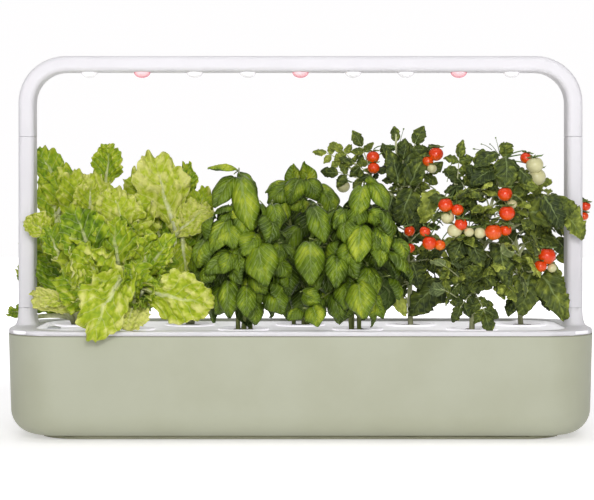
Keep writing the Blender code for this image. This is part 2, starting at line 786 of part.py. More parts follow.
def lamp_mesh():
    """Half of the arch, swept from the foot of the right leg to the middle, open at the mirror plane."""
    bm = bmesh.new()
    points = section_points(LEG_WIDTH, LEG_DEPTH, LEG_CORNER, LEG_CORNER_STEPS)
    bend_centre = Vector((LEG_X - BEND_RADIUS, 0, LAMP_TOP - LEG_WIDTH / 2 - BEND_RADIUS))
    edge = [(x * (1 - 2 * SEAM_EDGE / LEG_WIDTH), y * (1 - 2 * SEAM_EDGE / LEG_DEPTH)) for x, y in points]
    loops = [
        [Vector((LEG_X + x, y, LAMP_BOTTOM)) for x, y in edge],
        [Vector((LEG_X + x, y, LAMP_BOTTOM + SEAM_EDGE)) for x, y in points],
    ]
    for step in range(BEND_STEPS + 1):
        turn = Matrix.Rotation(-math.pi / 2 * step / BEND_STEPS, 3, "Y")
        loops.append([bend_centre + turn @ Vector((BEND_RADIUS + x, y, 0)) for x, y in points])
    loops.append([Vector((0, p.y, p.z)) for p in loops[-1]])
    rings = []
    for loop in loops:
        verts = [bm.verts.new(p) for p in loop]
        rings.append([bm.edges.new((a, b)) for a, b in zip(verts, verts[1:] + verts[:1])])
    for first, second in zip(rings, rings[1:]):
        bmesh.ops.bridge_loops(bm, edges=first + second)
    bmesh.ops.contextual_create(bm, geom=rings[0])
    return finished(bm, "lamp_arch")


def make_lamp():
    arch = node("lamp_arch", lamp_mesh(), WHITE_PLASTIC)
    mirror = arch.modifiers.new("mirror", "MIRROR")
    mirror.merge_threshold = WELD
    tongues = []
    for name, side in (("left", -1), ("right", 1)):
        tongue = helper(f"lamp_tongue_{name}", tongue_mesh(f"lamp_tongue_{name}", LAMP_BOTTOM))
        tongue.location = (side * LEG_X, 0, 0)
        tongues.append(tongue)
    boolean(arch, "UNION", tongues)
    channel = helper(
        "lamp_channel",
        slab_mesh(
            "lamp_channel",
            CHANNEL_LENGTH,
            CHANNEL_WIDTH,
            BAR_BOTTOM - OVERRUN,
            BAR_BOTTOM + CHANNEL_DEPTH,
            CHANNEL_WIDTH / 2 - WELD,
            LEG_CORNER_STEPS,
        ),
    )
    button_hole = helper(
        "button_hole",
        cylinder_mesh(
            "button_hole",
            BUTTON_RADIUS + BUTTON_CLEARANCE,
            LAMP_TOP + BUTTON_PROUD - BUTTON_HEIGHT - BUTTON_TRAVEL - SEAT_GAP,
            LAMP_TOP + OVERRUN,
            BUTTON_SIDES,
        ),
    )
    button_hole.location = (BUTTON_X, 0, 0)
    boolean(arch, "DIFFERENCE", [channel, button_hole])

    cover_low = BAR_BOTTOM + COVER_SINK
    cover_top = cover_low + COVER_THICKNESS
    cover_width = CHANNEL_WIDTH - 2 * COVER_CLEARANCE
    cover = node(
        "lamp_cover",
        slab_mesh(
            "lamp_cover",
            CHANNEL_LENGTH - 2 * COVER_CLEARANCE,
            cover_width,
            cover_low,
            cover_top,
            cover_width / 2 - WELD,
            LEG_CORNER_STEPS,
        ),
        WHITE_PLASTIC,
    )
    hole = cylinder_mesh(
        "lens_hole", LENS_RADIUS + LENS_CLEARANCE, cover_low - OVERRUN, cover_top + OVERRUN, LENS_SIDES
    )
    flange_low = cover_top + SEAT_GAP
    flange_top = flange_low + LENS_FLANGE_THICKNESS
    profile = [
        (0, flange_top),
        (LENS_RADIUS + LENS_FLANGE, flange_top),
        (LENS_RADIUS + LENS_FLANGE, flange_low),
        (LENS_RADIUS, flange_low),
    ]
    for ring in range(LENS_RINGS):
        turn = math.pi / 2 * ring / LENS_RINGS
        profile.append((LENS_RADIUS * math.cos(turn), BAR_BOTTOM - LENS_DROP * math.sin(turn)))
    profile.append((0, BAR_BOTTOM - LENS_DROP))
    holes = []
    lenses = {}
    for index in range(LED_COUNT):
        x = (index - (LED_COUNT - 1) / 2) * LED_PITCH
        is_red = index % 3 == 1
        finish = RED_LENS if is_red else CLEAR_LENS
        if is_red not in lenses:
            lenses[is_red] = turned(f"lens_{index + 1}", profile, LENS_SIDES, finish)
            lenses[is_red].location = (x, 0, 0)
        else:
            repeat(lenses[is_red], f"lens_{index + 1}", (x, 0, 0))
        cutter = helper(f"lens_hole_{index + 1}", hole)
        cutter.location = (x, 0, 0)
        holes.append(cutter)
    boolean(cover, "DIFFERENCE", holes)

    board_low = flange_top + SEAT_GAP
    board_width = CHANNEL_WIDTH - 2 * BOARD_MARGIN
    node(
        "led_board",
        slab_mesh(
            "led_board",
            CHANNEL_LENGTH - 2 * BOARD_MARGIN,
            board_width,
            board_low,
            board_low + BOARD_THICKNESS,
            board_width / 2 - WELD,
            LEG_CORNER_STEPS,
        ),
        BOARD_METAL,
    )
    driver_low = board_low + BOARD_THICKNESS + SEAT_GAP
    driver = bmesh.new()
    bmesh.ops.create_cube(driver, size=1)
    bmesh.ops.scale(driver, vec=(DRIVER_LENGTH, DRIVER_WIDTH, DRIVER_HEIGHT), verts=driver.verts)
    driver_height = driver_low + DRIVER_HEIGHT / 2
    bmesh.ops.translate(driver, vec=(BUTTON_X - DRIVER_LENGTH / 2, 0, driver_height), verts=driver.verts)
    node("timer_driver", finished(driver, "timer_driver"), BLACK_PLASTIC)

    button_top = LAMP_TOP + BUTTON_PROUD
    button = turned(
        "power_button",
        [
            (0, button_top),
            (BUTTON_RADIUS - BUTTON_EDGE, button_top),
            (BUTTON_RADIUS, button_top - BUTTON_EDGE),
            (BUTTON_RADIUS, button_top - BUTTON_HEIGHT),
            (0, button_top - BUTTON_HEIGHT),
        ],
        BUTTON_SIDES,
        WHITE_PLASTIC,
    )
    button.location = (BUTTON_X, 0, 0)


# Plants

def soft_limit(value, low, high):
    """Draws a coordinate in, so that it never passes the limits and points keep their order."""
    margin = CELL_CLEARANCE
    if value > high - margin:
        return high - margin * margin / (value - high + 2 * margin)
    if value < low + margin:
        return low + margin * margin / (low + 2 * margin - value)
    return value


class Cell:
    """The room that one plant keeps to: it ends at its neighbours' pods, the legs and the lamp."""

    def __init__(self, index):
        self.x, self.y = pod_place(index)
        self.row = -1 if self.y < 0 else 1
        left, right = self.x - POD_PITCH, self.x + POD_PITCH
        middle = 0
        if index < 2 or index > POD_COUNT - 3:
            middle = LEG_DEPTH / 2 + LEG_KEEP_OUT
            end = LEG_X + LEG_WIDTH / 2 if self.row < 0 else CELL_END
            left = -end if index < 2 else left
            right = end if index > POD_COUNT - 3 else right
        near, far = sorted((self.row * middle, self.row * CELL_FRONT))
        self.low = Vector((left + CELL_GAP, near + CELL_GAP, CUP_TOP + GROUND_GAP))
        self.high = Vector((right - CELL_GAP, far - CELL_GAP, PLANT_CEILING))

    def room(self, point, azimuth):
        """How far it is in plan from a point to the cell's side, along this direction."""
        reaches = []
        for axis, part in enumerate((math.cos(azimuth), math.sin(azimuth))):
            side = self.high[axis] if part > 0 else self.low[axis]
            if part:
                reaches.append((side - point[axis]) / part)
        return min(reaches)

    def keep_in(self, point):
        return Vector([soft_limit(*limits) for limits in zip(point, self.low, self.high)])


def leaf_mesh(cell, root, azimuth, rise, habit):
    """A flattened ball drawn into a leaf, which starts at its root, rises and droops towards its tip.

    A leaf is smaller where the side of the cell is near, and one that stands upright keeps its size.
    """
    level_share = max(math.cos(rise), LEAST_LEVEL_SHARE)
    size_share = min(1, cell.room(root, azimuth) / (level_share * habit.leaf_length))
    size_share = max(size_share, LEAST_SIZE_SHARE)
    length = habit.leaf_length * size_share
    width = habit.leaf_width * size_share
    turn = Matrix.Rotation(azimuth, 4, "Z") @ Matrix.Rotation(-rise, 4, "Y")
    place = Matrix.Translation(root) @ turn
    bm = bmesh.new()
    bmesh.ops.create_uvsphere(bm, u_segments=LEAF_SIDES, v_segments=LEAF_RINGS, radius=1)
    for v in bm.verts:
        bend = habit.droop * (1 - v.co.z) / 2
        reach = length * math.sin(bend) / habit.droop
        fall = length * (1 - math.cos(bend)) / habit.droop
        lift = v.co.y * habit.leaf_thickness / 2
        across = v.co.x * width / 2
        local = Vector((reach + lift * math.sin(bend), across, lift * math.cos(bend) - fall))
        v.co = cell.keep_in(place @ local)
    return finished(bm, "leaf")


def ball_mesh(cell, centre, radii, steps):
    bm = bmesh.new()
    bmesh.ops.create_icosphere(bm, subdivisions=steps, radius=1)
    for v in bm.verts:
        v.co = cell.keep_in(centre + Vector([part * radius for part, radius in zip(v.co, radii)]))
    return finished(bm, "ball")


def stem_mesh(cell, top):
    """The stem stands on the crown of the growing medium."""
    low = CUP_TOP - MEDIUM_SINK + SEAT_GAP
    bm = bmesh.new()
    tip = STEM_RADIUS * STEM_TAPER_SHARE
    bmesh.ops.create_cone(
        bm, cap_ends=True, segments=STEM_SIDES, radius1=STEM_RADIUS, radius2=tip, depth=top - low
    )
    bmesh.ops.translate(bm, vec=(cell.x, cell.y, (low + top) / 2), verts=bm.verts)
    return finished(bm, "stem")


def fused_mesh(name, meshes):
    """Joins closed meshes to one skin. A pocket of air between leaves leaves no skin of its own."""
    shapes = [helper(name + "_shape", mesh) for mesh in meshes]
    boolean(shapes[0], "UNION", shapes[1:])
    depsgraph = bpy.context.evaluated_depsgraph_get()
    joined = bpy.data.meshes.new_from_object(shapes[0].evaluated_get(depsgraph))
    for shape in shapes:
        bpy.data.objects.remove(shape)
    bm = bmesh.new()
    bm.from_mesh(joined)
    skins = loose_skins(bm)
    outer = max(skins, key=lambda skin: sum(face.calc_area() for face in skin))
    inner = [face for skin in skins if skin is not outer for face in skin]
    bmesh.ops.delete(bm, geom=inner, context="FACES")
    return finished(bm, name)


def loose_skins(bm):
    """The faces of the mesh, in one list for each stretch of joined faces."""
    waiting = set(bm.faces)
    skins = []
    while waiting:
        skin = [waiting.pop()]
        for face in skin:
            for edge in face.edges:
                joined = waiting.intersection(edge.link_faces)
                waiting -= joined
                skin.extend(joined)
        skins.append(skin)
    return skins


def make_plant(name, index, habit):
    cell = Cell(index)
    radii = Vector((habit.heart_width / 2, habit.heart_depth / 2, habit.heart_height / 2))
    base = cell.low.z + habit.heart_base
    centre = Vector((cell.x, cell.y + cell.row * habit.heart_depth / 4, base + radii.z))
    meshes = [stem_mesh(cell, centre.z), ball_mesh(cell, centre, radii, 2)]
    for leaf in range(habit.leaf_count):
        height_share = (leaf + 0.5) / habit.leaf_count
        azimuth = GOLDEN_ANGLE * leaf + index
        ring = math.sin(math.acos(2 * height_share - 1))
        out = Vector((ring * math.cos(azimuth), ring * math.sin(azimuth), 2 * height_share - 1))
        root = centre + Vector([part * radius for part, radius in zip(out, radii)]) * LEAF_ROOT_SHARE
        rise = habit.low_rise + (habit.high_rise - habit.low_rise) * height_share
        meshes.append(leaf_mesh(cell, root, azimuth, rise, habit))
    for fruit in range(habit.fruit_count):
        height_share = (fruit + 0.5) / habit.fruit_count
        azimuth = GOLDEN_ANGLE * fruit + index
        out = Vector((math.cos(azimuth), cell.row * abs(math.sin(azimuth)), 0)) * FRUIT_REACH_SHARE
        spot = centre + Vector((out.x * radii.x, out.y * radii.y, (2 * height_share - 1) * radii.z))
        meshes.append(ball_mesh(cell, spot, [habit.fruit_radius] * 3, 1))
    return fused_mesh(name, meshes)


def make_plants():
    finishes = {"lettuce": LETTUCE_LEAF, "basil": BASIL_LEAF, "tomato": TOMATO_LEAF}
    per_kind = POD_COUNT // len(HABITS)
    for index in range(POD_COUNT):
        kind, habit = HABITS[index // per_kind]
        name = f"{kind}_{index % per_kind + 1}"
        node(name, make_plant(name, index, habit), finishes[kind])


make_feet_and_plinth()
make_tank()
make_tray()
make_jack()
make_float()
make_cups()
make_arms()
make_lamp()
make_plants()
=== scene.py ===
import math
import random

import bmesh
import bpy
from mathutils import Matrix, Quaternion, Vector, noise
from mathutils.geometry import interpolate_bezier


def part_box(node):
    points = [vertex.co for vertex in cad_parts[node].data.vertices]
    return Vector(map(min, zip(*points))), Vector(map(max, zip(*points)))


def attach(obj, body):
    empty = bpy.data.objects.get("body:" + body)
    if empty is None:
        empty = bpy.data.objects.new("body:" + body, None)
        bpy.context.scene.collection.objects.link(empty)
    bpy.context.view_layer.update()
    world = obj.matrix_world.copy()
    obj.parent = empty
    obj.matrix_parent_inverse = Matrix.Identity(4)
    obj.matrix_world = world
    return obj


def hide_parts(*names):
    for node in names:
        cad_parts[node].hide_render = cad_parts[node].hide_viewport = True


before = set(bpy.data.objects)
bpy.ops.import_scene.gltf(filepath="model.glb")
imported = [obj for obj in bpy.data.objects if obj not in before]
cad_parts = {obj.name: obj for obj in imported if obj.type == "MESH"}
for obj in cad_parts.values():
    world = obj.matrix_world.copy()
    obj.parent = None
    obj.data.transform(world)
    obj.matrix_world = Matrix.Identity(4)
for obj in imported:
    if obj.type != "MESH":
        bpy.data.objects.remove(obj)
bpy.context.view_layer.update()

MM = 0.001

# View and room
# The garden stands on a plain white sweep and is seen from the front, 1.8 m away and level with the middle of
# its leaves. Softboxes over it, behind it, by the camera and low in front, and a pale room, light it evenly.
VIEW_DISTANCE = 1.8
VIEW_HEIGHT = 0.2573
VIEW_SIDE = -0.0038
VIEW_LENGTH_PX = 1655  # focal length in pixels of the 594 px wide picture
PICTURE_WIDTH_PX = 594
LEVEL_ROW_PX = 195.3  # row of the picture that lies level with the camera
MIDDLE_ROW_PX = 250
SENSOR = 36

scene = bpy.context.scene
scene.view_settings.view_transform = "Standard"
camera = bpy.data.cameras.new("camera")
camera.sensor_width = SENSOR
camera.lens = VIEW_LENGTH_PX * SENSOR / PICTURE_WIDTH_PX
camera.shift_y = (LEVEL_ROW_PX - MIDDLE_ROW_PX) / PICTURE_WIDTH_PX
camera_stand = bpy.data.objects.new("camera", camera)
camera_stand.location = (VIEW_SIDE, -VIEW_DISTANCE, VIEW_HEIGHT)
camera_stand.rotation_euler = (math.pi / 2, 0, 0)
scene.collection.objects.link(camera_stand)
scene.camera = camera_stand


def add(tree, kind, inputs=None, **settings):
    """One shader node. Its inputs, by name or number, take values or other nodes' outputs."""
    made = tree.nodes.new(kind)
    for key, value in settings.items():
        setattr(made, key, value)
    for key, value in (inputs or {}).items():
        if isinstance(value, bpy.types.NodeSocket):
            tree.links.new(value, made.inputs[key])
        else:
            made.inputs[key].default_value = value
    return made


def calc(tree, operation, *values):
    """The result of one sum on numbers or outputs."""
    return add(tree, "ShaderNodeMath", dict(enumerate(values)), operation=operation).outputs[0]


def ramp_between(tree, value, low, high):
    """0 below low, 1 above high, with soft ends."""
    inputs = {"Value": value, "From Min": low, "From Max": high}
    return add(tree, "ShaderNodeMapRange", inputs, interpolation_type="SMOOTHSTEP").outputs["Result"]


def mixed(tree, share, first, second):
    """The colour that lies that share of the way from the first to the second."""
    made = add(tree, "ShaderNodeMix", {0: share, 6: first, 7: second}, data_type="RGBA")
    return made.outputs[2]


def softbox(name, width, height, place, target, watts, spread=180):
    light = bpy.data.lights.new(name, "AREA")
    light.spread = math.radians(spread)
    light.shape = "RECTANGLE"
    light.size = width
    light.size_y = height
    light.energy = watts
    stand = bpy.data.objects.new(name, light)
    stand.location = place
    stand.rotation_euler = (Vector(target) - Vector(place)).to_track_quat("-Z", "Y").to_euler()
    scene.collection.objects.link(stand)


softbox("softbox_top", 2.4, 1.6, (0, -0.3, 2.2), (0, 0, 0.2), 11.5)
softbox("softbox_back", 2, 1.2, (0, 2.4, 1.2), (0, 0, 0.2), 12)
softbox("softbox_left", 1.4, 1.8, (-0.9, -2.2, 0.7), (0, 0, 0.2), 3)
softbox("softbox_right", 1.4, 1.8, (0.9, -2.2, 0.7), (0, 0, 0.2), 3)
softbox("softbox_low", 1.6, 0.3, (0, -0.9, 0.03), (0, 0, 0.44), 0.3, spread=34)
softbox("softbox_front", 0.6, 0.5, (0.05, -1.9, 0.72), (0, 0, 0.22), 16)

ROOM_LIGHT = 0.27
ROOM_REFLECTED = 0.3  # how bright reflections show the room, which the camera sees as white
WHITE = (1, 0.992, 0.996, 1)
BLACK = (0, 0, 0, 1)

room = bpy.data.worlds.new("room")
room.use_nodes = True
scene.world = room
room_nodes = room.node_tree
lit = room_nodes.nodes["Background"]
lit.inputs["Color"].default_value = WHITE
rays = add(room_nodes, "ShaderNodeLightPath").outputs
clear_view = calc(room_nodes, "MAXIMUM", rays["Is Camera Ray"], rays["Is Transmission Ray"])
reflected = calc(room_nodes, "MULTIPLY", rays["Is Glossy Ray"], ROOM_REFLECTED)
strength = calc(room_nodes, "MAXIMUM", calc(room_nodes, "MAXIMUM", clear_view, reflected), ROOM_LIGHT)
room_nodes.links.new(strength, lit.inputs["Strength"])

FLOOR_HALF_WIDTH = 5
FLOOR_WHITE = (0.92, 0.91, 0.915, 1)
FLOOR_ROUGHNESS = 0.9
FLOOR_GLOW = 0.43  # seen only by the camera and in reflections
FLOOR_BOUNCE = 0.25  # share of that glow that lights the garden from below
FLOOR_SHADED = 0.5  # as far from the middle as the floor shows the garden's shadow
FLOOR_PLAIN = 1.1  # from here on it is plain white


def plain_material(name):
    """A new material with its node tree and its one shader."""
    made = bpy.data.materials.new(name)
    made.use_nodes = True
    return made, made.node_tree, made.node_tree.nodes["Principled BSDF"]


def piece_place(tree):
    """Where the shaded point lies in its piece."""
    return add(tree, "ShaderNodeTexCoord").outputs["Object"]


def as_object(name, bm, *finishes):
    """A new object with that mesh and those finishes, in the scene."""
    mesh = bpy.data.meshes.new(name)
    bm.to_mesh(mesh)
    bm.free()
    for finish in finishes:
        mesh.materials.append(finish)
    made = bpy.data.objects.new(name, mesh)
    scene.collection.objects.link(made)
    return made


floor_finish, tree, shader = plain_material("white_sweep")
shader.inputs["Base Color"].default_value = FLOOR_WHITE
shader.inputs["Roughness"].default_value = FLOOR_ROUGHNESS
shader.inputs["Emission Strength"].default_value = 1
rays = add(tree, "ShaderNodeLightPath").outputs
clear_view = calc(tree, "MAXIMUM", rays["Is Camera Ray"], rays["Is Transmission Ray"])
clear_view = calc(tree, "MAXIMUM", clear_view, rays["Is Glossy Ray"])
from_middle = add(tree, "ShaderNodeVectorMath", {0: piece_place(tree)}, operation="LENGTH").outputs["Value"]
far = ramp_between(tree, from_middle, FLOOR_SHADED, FLOOR_PLAIN)
glow = calc(tree, "MULTIPLY_ADD", far, 1 - FLOOR_GLOW, FLOOR_GLOW)
bounce = calc(tree, "MULTIPLY_ADD", clear_view, 1 - FLOOR_BOUNCE, FLOOR_BOUNCE)
glow = calc(tree, "MULTIPLY", bounce, glow)
tree.links.new(mixed(tree, glow, BLACK, WHITE), shader.inputs["Emission Color"])

bm = bmesh.new()
bmesh.ops.create_grid(bm, x_segments=2, y_segments=2, size=FLOOR_HALF_WIDTH)
floor = as_object("floor", bm, floor_finish)

# Tank
# One injection-moulded tub in sage green with a dull, finely textured skin. It stands on the plinth, and its
# open top is closed by the planting tray.
SAGE = (0.48, 0.495, 0.378, 1)
SAGE_SHADE = (0.45, 0.462, 0.343, 1)
LIP_SHADE = (0.27, 0.275, 0.2, 1)
LIP_SHADE_HEIGHT = 1.1 * MM
TANK_CORNER = 55 * MM
TANK_CORNER_STEPS = 24
TANK_FILLET = 26 * MM
TANK_FILLET_STEPS = 12
TANK_DRAFT = 3 * MM
TANK_WALL = 2.6 * MM
SHARP_ANGLE = math.radians(32)
UP = Vector((0, 0, 1))
WELD = 0.02 * MM

COLOUR = "NodeSocketColor"
NUMBER = "NodeSocketFloat"
VECTOR = "NodeSocketVector"


def new_group(name, inputs, outputs):
    """An empty node group and the two nodes at its ends."""
    group = bpy.data.node_groups.new(name, "ShaderNodeTree")
    for title, kind in inputs:
        group.interface.new_socket(title, in_out="INPUT", socket_type=kind)
    for title, kind in outputs:
        group.interface.new_socket(title, in_out="OUTPUT", socket_type=kind)
    return group, group.nodes.new("NodeGroupInput"), group.nodes.new("NodeGroupOutput")


def noise_at(tree, place, scale, detail=2):
    """Soft noise from 0 to 1, with that many swells to a metre."""
    return add(tree, "ShaderNodeTexNoise", {"Vector": place, "Scale": scale, "Detail": detail}).outputs[0]


def make_moulded_group():
    """Moulded plastic: faint flow marks, a fine spark texture and gloss that varies a little with that
    texture.
    """
    inputs = [("Vector", VECTOR), ("Colour", COLOUR), ("Shade", COLOUR), ("Gloss", NUMBER), ("Grain", NUMBER)]
    outputs = [("Colour", COLOUR), ("Roughness", NUMBER), ("Height", NUMBER)]
    group, given, result = new_group("moulded_plastic", inputs, outputs)
    given = given.outputs
    marks = ramp_between(group, noise_at(group, given["Vector"], 14, detail=4), 0.35, 0.7)
    fine = {"Vector": given["Vector"], "Scale": given["Grain"], "Detail": 3, "Roughness": 0.6}
    grain = add(group, "ShaderNodeTexNoise", fine).outputs[0]
    spread = calc(group, "MULTIPLY_ADD", grain, 0.12, -0.06)
    rough = calc(group, "SUBTRACT", 1, given["Gloss"])
    group.links.new(mixed(group, marks, given["Colour"], given["Shade"]), result.inputs["Colour"])
    group.links.new(calc(group, "ADD", rough, spread), result.inputs["Roughness"])
    group.links.new(grain, result.inputs["Height"])
    return group


MOULDED = make_moulded_group()


def surface(tree, shader, colour, rough, height, depth, strength=1):
    """Gives a shader its colour, its roughness and the fine relief that bump shows."""
    bump = add(tree, "ShaderNodeBump", {"Height": height, "Distance": depth, "Strength": strength})
    tree.links.new(colour, shader.inputs["Base Color"])
    tree.links.new(rough, shader.inputs["Roughness"])
    tree.links.new(bump.outputs["Normal"], shader.inputs["Normal"])


def moulded(name, colour, shade, gloss, grain, depth):
    """Moulded plastic of that colour, with a texture of that many grains to a metre and that depth."""
    made, tree, shader = plain_material(name)
    values = {"Vector": piece_place(tree), "Colour": colour, "Shade": shade, "Gloss": gloss, "Grain": grain}
    skin = add(tree, "ShaderNodeGroup", values, node_tree=MOULDED).outputs
    surface(tree, shader, skin["Colour"], skin["Roughness"], skin["Height"], depth)
    return made


def dress(finish, *nodes):
    """Gives these CAD nodes that finish."""
    for name in nodes:
        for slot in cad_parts[name].material_slots:
            slot.material = finish


def shade_smooth(made):
    made.data.polygons.foreach_set("use_smooth", [True] * len(made.data.polygons))


def weighted(made):
    """Shades a piece smooth between its sharp edges, with its flat faces kept flat."""
    shade_smooth(made)
    made.data.set_sharp_from_angle(angle=SHARP_ANGLE)
    normals = made.modifiers.new("normals", "WEIGHTED_NORMAL")
    normals.keep_sharp = True


def smoothed(node, finish, body):
    """A merged copy of a moulding, which shows its curves smooth."""
    bm = bmesh.new()
    bm.from_mesh(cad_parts[node].data)
    bmesh.ops.remove_doubles(bm, verts=bm.verts, dist=WELD)
    made = as_object(f"{node}_skin", bm, finish)
    weighted(made)
    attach(made, body)
    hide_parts(node)


def shade_under_lip(finish, top):
    """The thin dark line that the tray's lip casts on the tank's edge."""
    tree = finish.node_tree
    shader = tree.nodes["Principled BSDF"]
    height = add(tree, "ShaderNodeSeparateXYZ", {0: piece_place(tree)}).outputs["Z"]
    share = ramp_between(tree, height, top - LIP_SHADE_HEIGHT * 1.3, top - LIP_SHADE_HEIGHT * 0.7)
    colour = shader.inputs["Base Color"].links[0].from_socket
    tree.links.new(mixed(tree, share, colour, LIP_SHADE), shader.inputs["Base Color"])


def edges_at(bm, height):
    return [e for e in bm.edges if all(abs(v.co.z - height) < WELD for v in e.verts)]


def rounded(bm, edges, radius, steps):
    bmesh.ops.bevel(bm, geom=edges, offset=radius, segments=steps, profile=0.5, affect="EDGES", material=-1)


def make_tank():
    low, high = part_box("tank")
    size = high - low
    bm = bmesh.new()
    bmesh.ops.create_cube(bm, size=1)
    bmesh.ops.scale(bm, vec=size, verts=bm.verts)
    bmesh.ops.translate(bm, vec=(low + high) / 2, verts=bm.verts)
    upright = [e for e in bm.edges if abs(e.verts[0].co.z - e.verts[1].co.z) > WELD]
    rounded(bm, upright, TANK_CORNER, TANK_CORNER_STEPS)
    rounded(bm, edges_at(bm, low.z), TANK_FILLET, TANK_FILLET_STEPS)
    for v in bm.verts:
        fall = (high.z - v.co.z) / size.z
        v.co.x *= 1 - fall * TANK_DRAFT / (size.x / 2)
        v.co.y *= 1 - fall * TANK_DRAFT / (size.y / 2)
    lid = [f for f in bm.faces if all(abs(v.co.z - high.z) < WELD for v in f.verts)]
    bmesh.ops.delete(bm, geom=lid, context="FACES_ONLY")
    made = as_object("tank_skin", bm, sage_plastic)
    wall = made.modifiers.new("wall", "SOLIDIFY")
    wall.thickness = TANK_WALL
    wall.offset = -1
    wall.use_even_offset = True
    weighted(made)
    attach(made, "base")
    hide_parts("tank")


sage_plastic = moulded("sage_plastic", SAGE, SAGE_SHADE, gloss=0.5, grain=1400, depth=0.05 * MM)
shade_under_lip(sage_plastic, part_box("tank")[1].z)
make_tank()

# Plinth and feet
# A low dark skirt under the tank keeps its lower edge off the worktop. Four rubber pads are glued into it.
OLIVE = (0.4, 0.4, 0.28, 1)
OLIVE_SHADE = (0.35, 0.35, 0.24, 1)
RUBBER = (0.03, 0.03, 0.03, 1)
RUBBER_SHADE = (0.045, 0.045, 0.045, 1)

FEET = ("foot_front_left", "foot_front_right", "foot_rear_left", "foot_rear_right")
plinth_plastic = moulded("plinth_plastic", OLIVE, OLIVE_SHADE, gloss=0.35, grain=1400, depth=0.05 * MM)
foot_rubber = moulded("foot_rubber", RUBBER, RUBBER_SHADE, gloss=0.12, grain=900, depth=0.08 * MM)
smoothed("plinth", plinth_plastic, "base")
dress(foot_rubber, *FEET)

# Planting tray, arms and lamp arch
# All of them are moulded in one white plastic with a satin skin. The tray closes the tank, the arms plug into
# its sockets and into each other, and the lamp arch plugs into the upper arms.
CHALK = (0.79, 0.775, 0.808, 1)
CHALK_SHADE = (0.765, 0.75, 0.785, 1)
WHITE_PAINTED_GLOW = 0.02  # strength of a painted glow in the plastic's own colour, which lightens its shaded sides
DECK_LEVEL = 114.4 * MM
DECK_NEAR = 1.2 * MM  # above and below the deck, as far as all of its painted glow reaches
DECK_FAR = 2 * MM  # and as far as any of it reaches
DECK_INSIDE = (301 * MM, 83.5 * MM)  # as far as the deck reaches inside its rim
# Painted light: the deck glows with the plastic's own colour where the leaves shade it.
DECK_PAINTED_GLOW = 0.58
RIM_PAINTED_GLOW = (0.06, 0.06, 0.055, 1)

white_plastic = moulded("white_plastic", CHALK, CHALK_SHADE, gloss=0.42, grain=1800, depth=0.02 * MM)
white_shader = white_plastic.node_tree.nodes["Principled BSDF"]
white_skin = white_shader.inputs["Base Color"].links[0].from_socket
# Painted light: the white plastic glows faintly with its own colour everywhere.
white_plastic.node_tree.links.new(white_skin, white_shader.inputs["Emission Color"])
white_shader.inputs["Emission Strength"].default_value = WHITE_PAINTED_GLOW


def paint_deck_glow(finish):
    """Painted light: a glow of the plastic's own colour at the deck's height, inside its rim and patchy with
    noise, that lightens the deck where the leaves shade it; elsewhere a faint grey painted glow.
    """
    tree = finish.node_tree
    shader = tree.nodes["Principled BSDF"]
    place = piece_place(tree)
    parts = add(tree, "ShaderNodeSeparateXYZ", {0: place}).outputs
    apart = calc(tree, "ABSOLUTE", calc(tree, "SUBTRACT", parts["Z"], DECK_LEVEL))
    cloudy = ramp_between(tree, noise_at(tree, place, 8), -1, 0.7)
    share = calc(tree, "MULTIPLY", ramp_between(tree, apart, DECK_FAR, DECK_NEAR), cloudy)
    for axis, limit in zip("XY", DECK_INSIDE):
        away = calc(tree, "ABSOLUTE", parts[axis])
        share = calc(tree, "MULTIPLY", share, ramp_between(tree, away, limit, limit - DECK_NEAR))
    shader.inputs["Emission Strength"].default_value = DECK_PAINTED_GLOW
    tree.links.new(mixed(tree, share, RIM_PAINTED_GLOW, CHALK), shader.inputs["Emission Color"])


deck_plastic = moulded("deck_plastic", CHALK, CHALK_SHADE, gloss=0.45, grain=1800, depth=0.01 * MM)
# The deck gets its painted glow.
paint_deck_glow(deck_plastic)
smoothed("tray", deck_plastic, "tray")
WHITE_MOULDINGS = {
    "lower_arm_left": "lower_arm_left",
    "lower_arm_right": "lower_arm_right",
    "upper_arm_left": "upper_arm_left",
    "upper_arm_right": "upper_arm_right",
    "lamp_arch": "lamp",
    "lamp_cover": "lamp",
    "power_button": "button",
}
for node, body in WHITE_MOULDINGS.items():
    smoothed(node, white_plastic, body)

# Cups and growing medium
# Nine thin white cups hang in the tray by their flanges. Each is filled with a dark, crumbly growing medium
# that swells a little in the middle and carries one plant.
POD_COUNT = 9
CUP_STEPS = 48
CUP_FLANGE = 3.4 * MM
CUP_FLANGE_THICKNESS = 1.5 * MM
CUP_EDGE = 0.4 * MM
CUP_WALL = 1.3 * MM
CUP_FOOT_RADIUS = 17 * MM
CUP_DRAIN_RADIUS = 8 * MM
MEDIUM_GAP = 0.4 * MM
MEDIUM_RINGS = 14
MEDIUM_CROWN = 1.4 * MM
MEDIUM_LUMPS = ((90, 0.9 * MM), (260, 0.8 * MM), (700, 0.45 * MM))  # lumps to a metre, and their height
SOIL_DARK = (0.018, 0.012, 0.008, 1)
SOIL_PALE = (0.11, 0.075, 0.045, 1)


def turned(name, outline, middle, steps, finish):
    """A skin made by turning an outline of radii and heights about the upright line through that point."""
    bm = bmesh.new()
    verts = [bm.verts.new((middle.x + radius, middle.y, height)) for radius, height in outline]
    following = verts[1:] + verts[:1] if outline[0][0] else verts[1:]
    edges = [bm.edges.new(pair) for pair in zip(verts, following)]
    bmesh.ops.spin(bm, geom=verts + edges, cent=middle, axis=UP, angle=math.tau, steps=steps, use_merge=True)
    bmesh.ops.remove_doubles(bm, verts=bm.verts, dist=WELD)
    bmesh.ops.recalc_face_normals(bm, faces=bm.faces)
    return as_object(name, bm, finish)


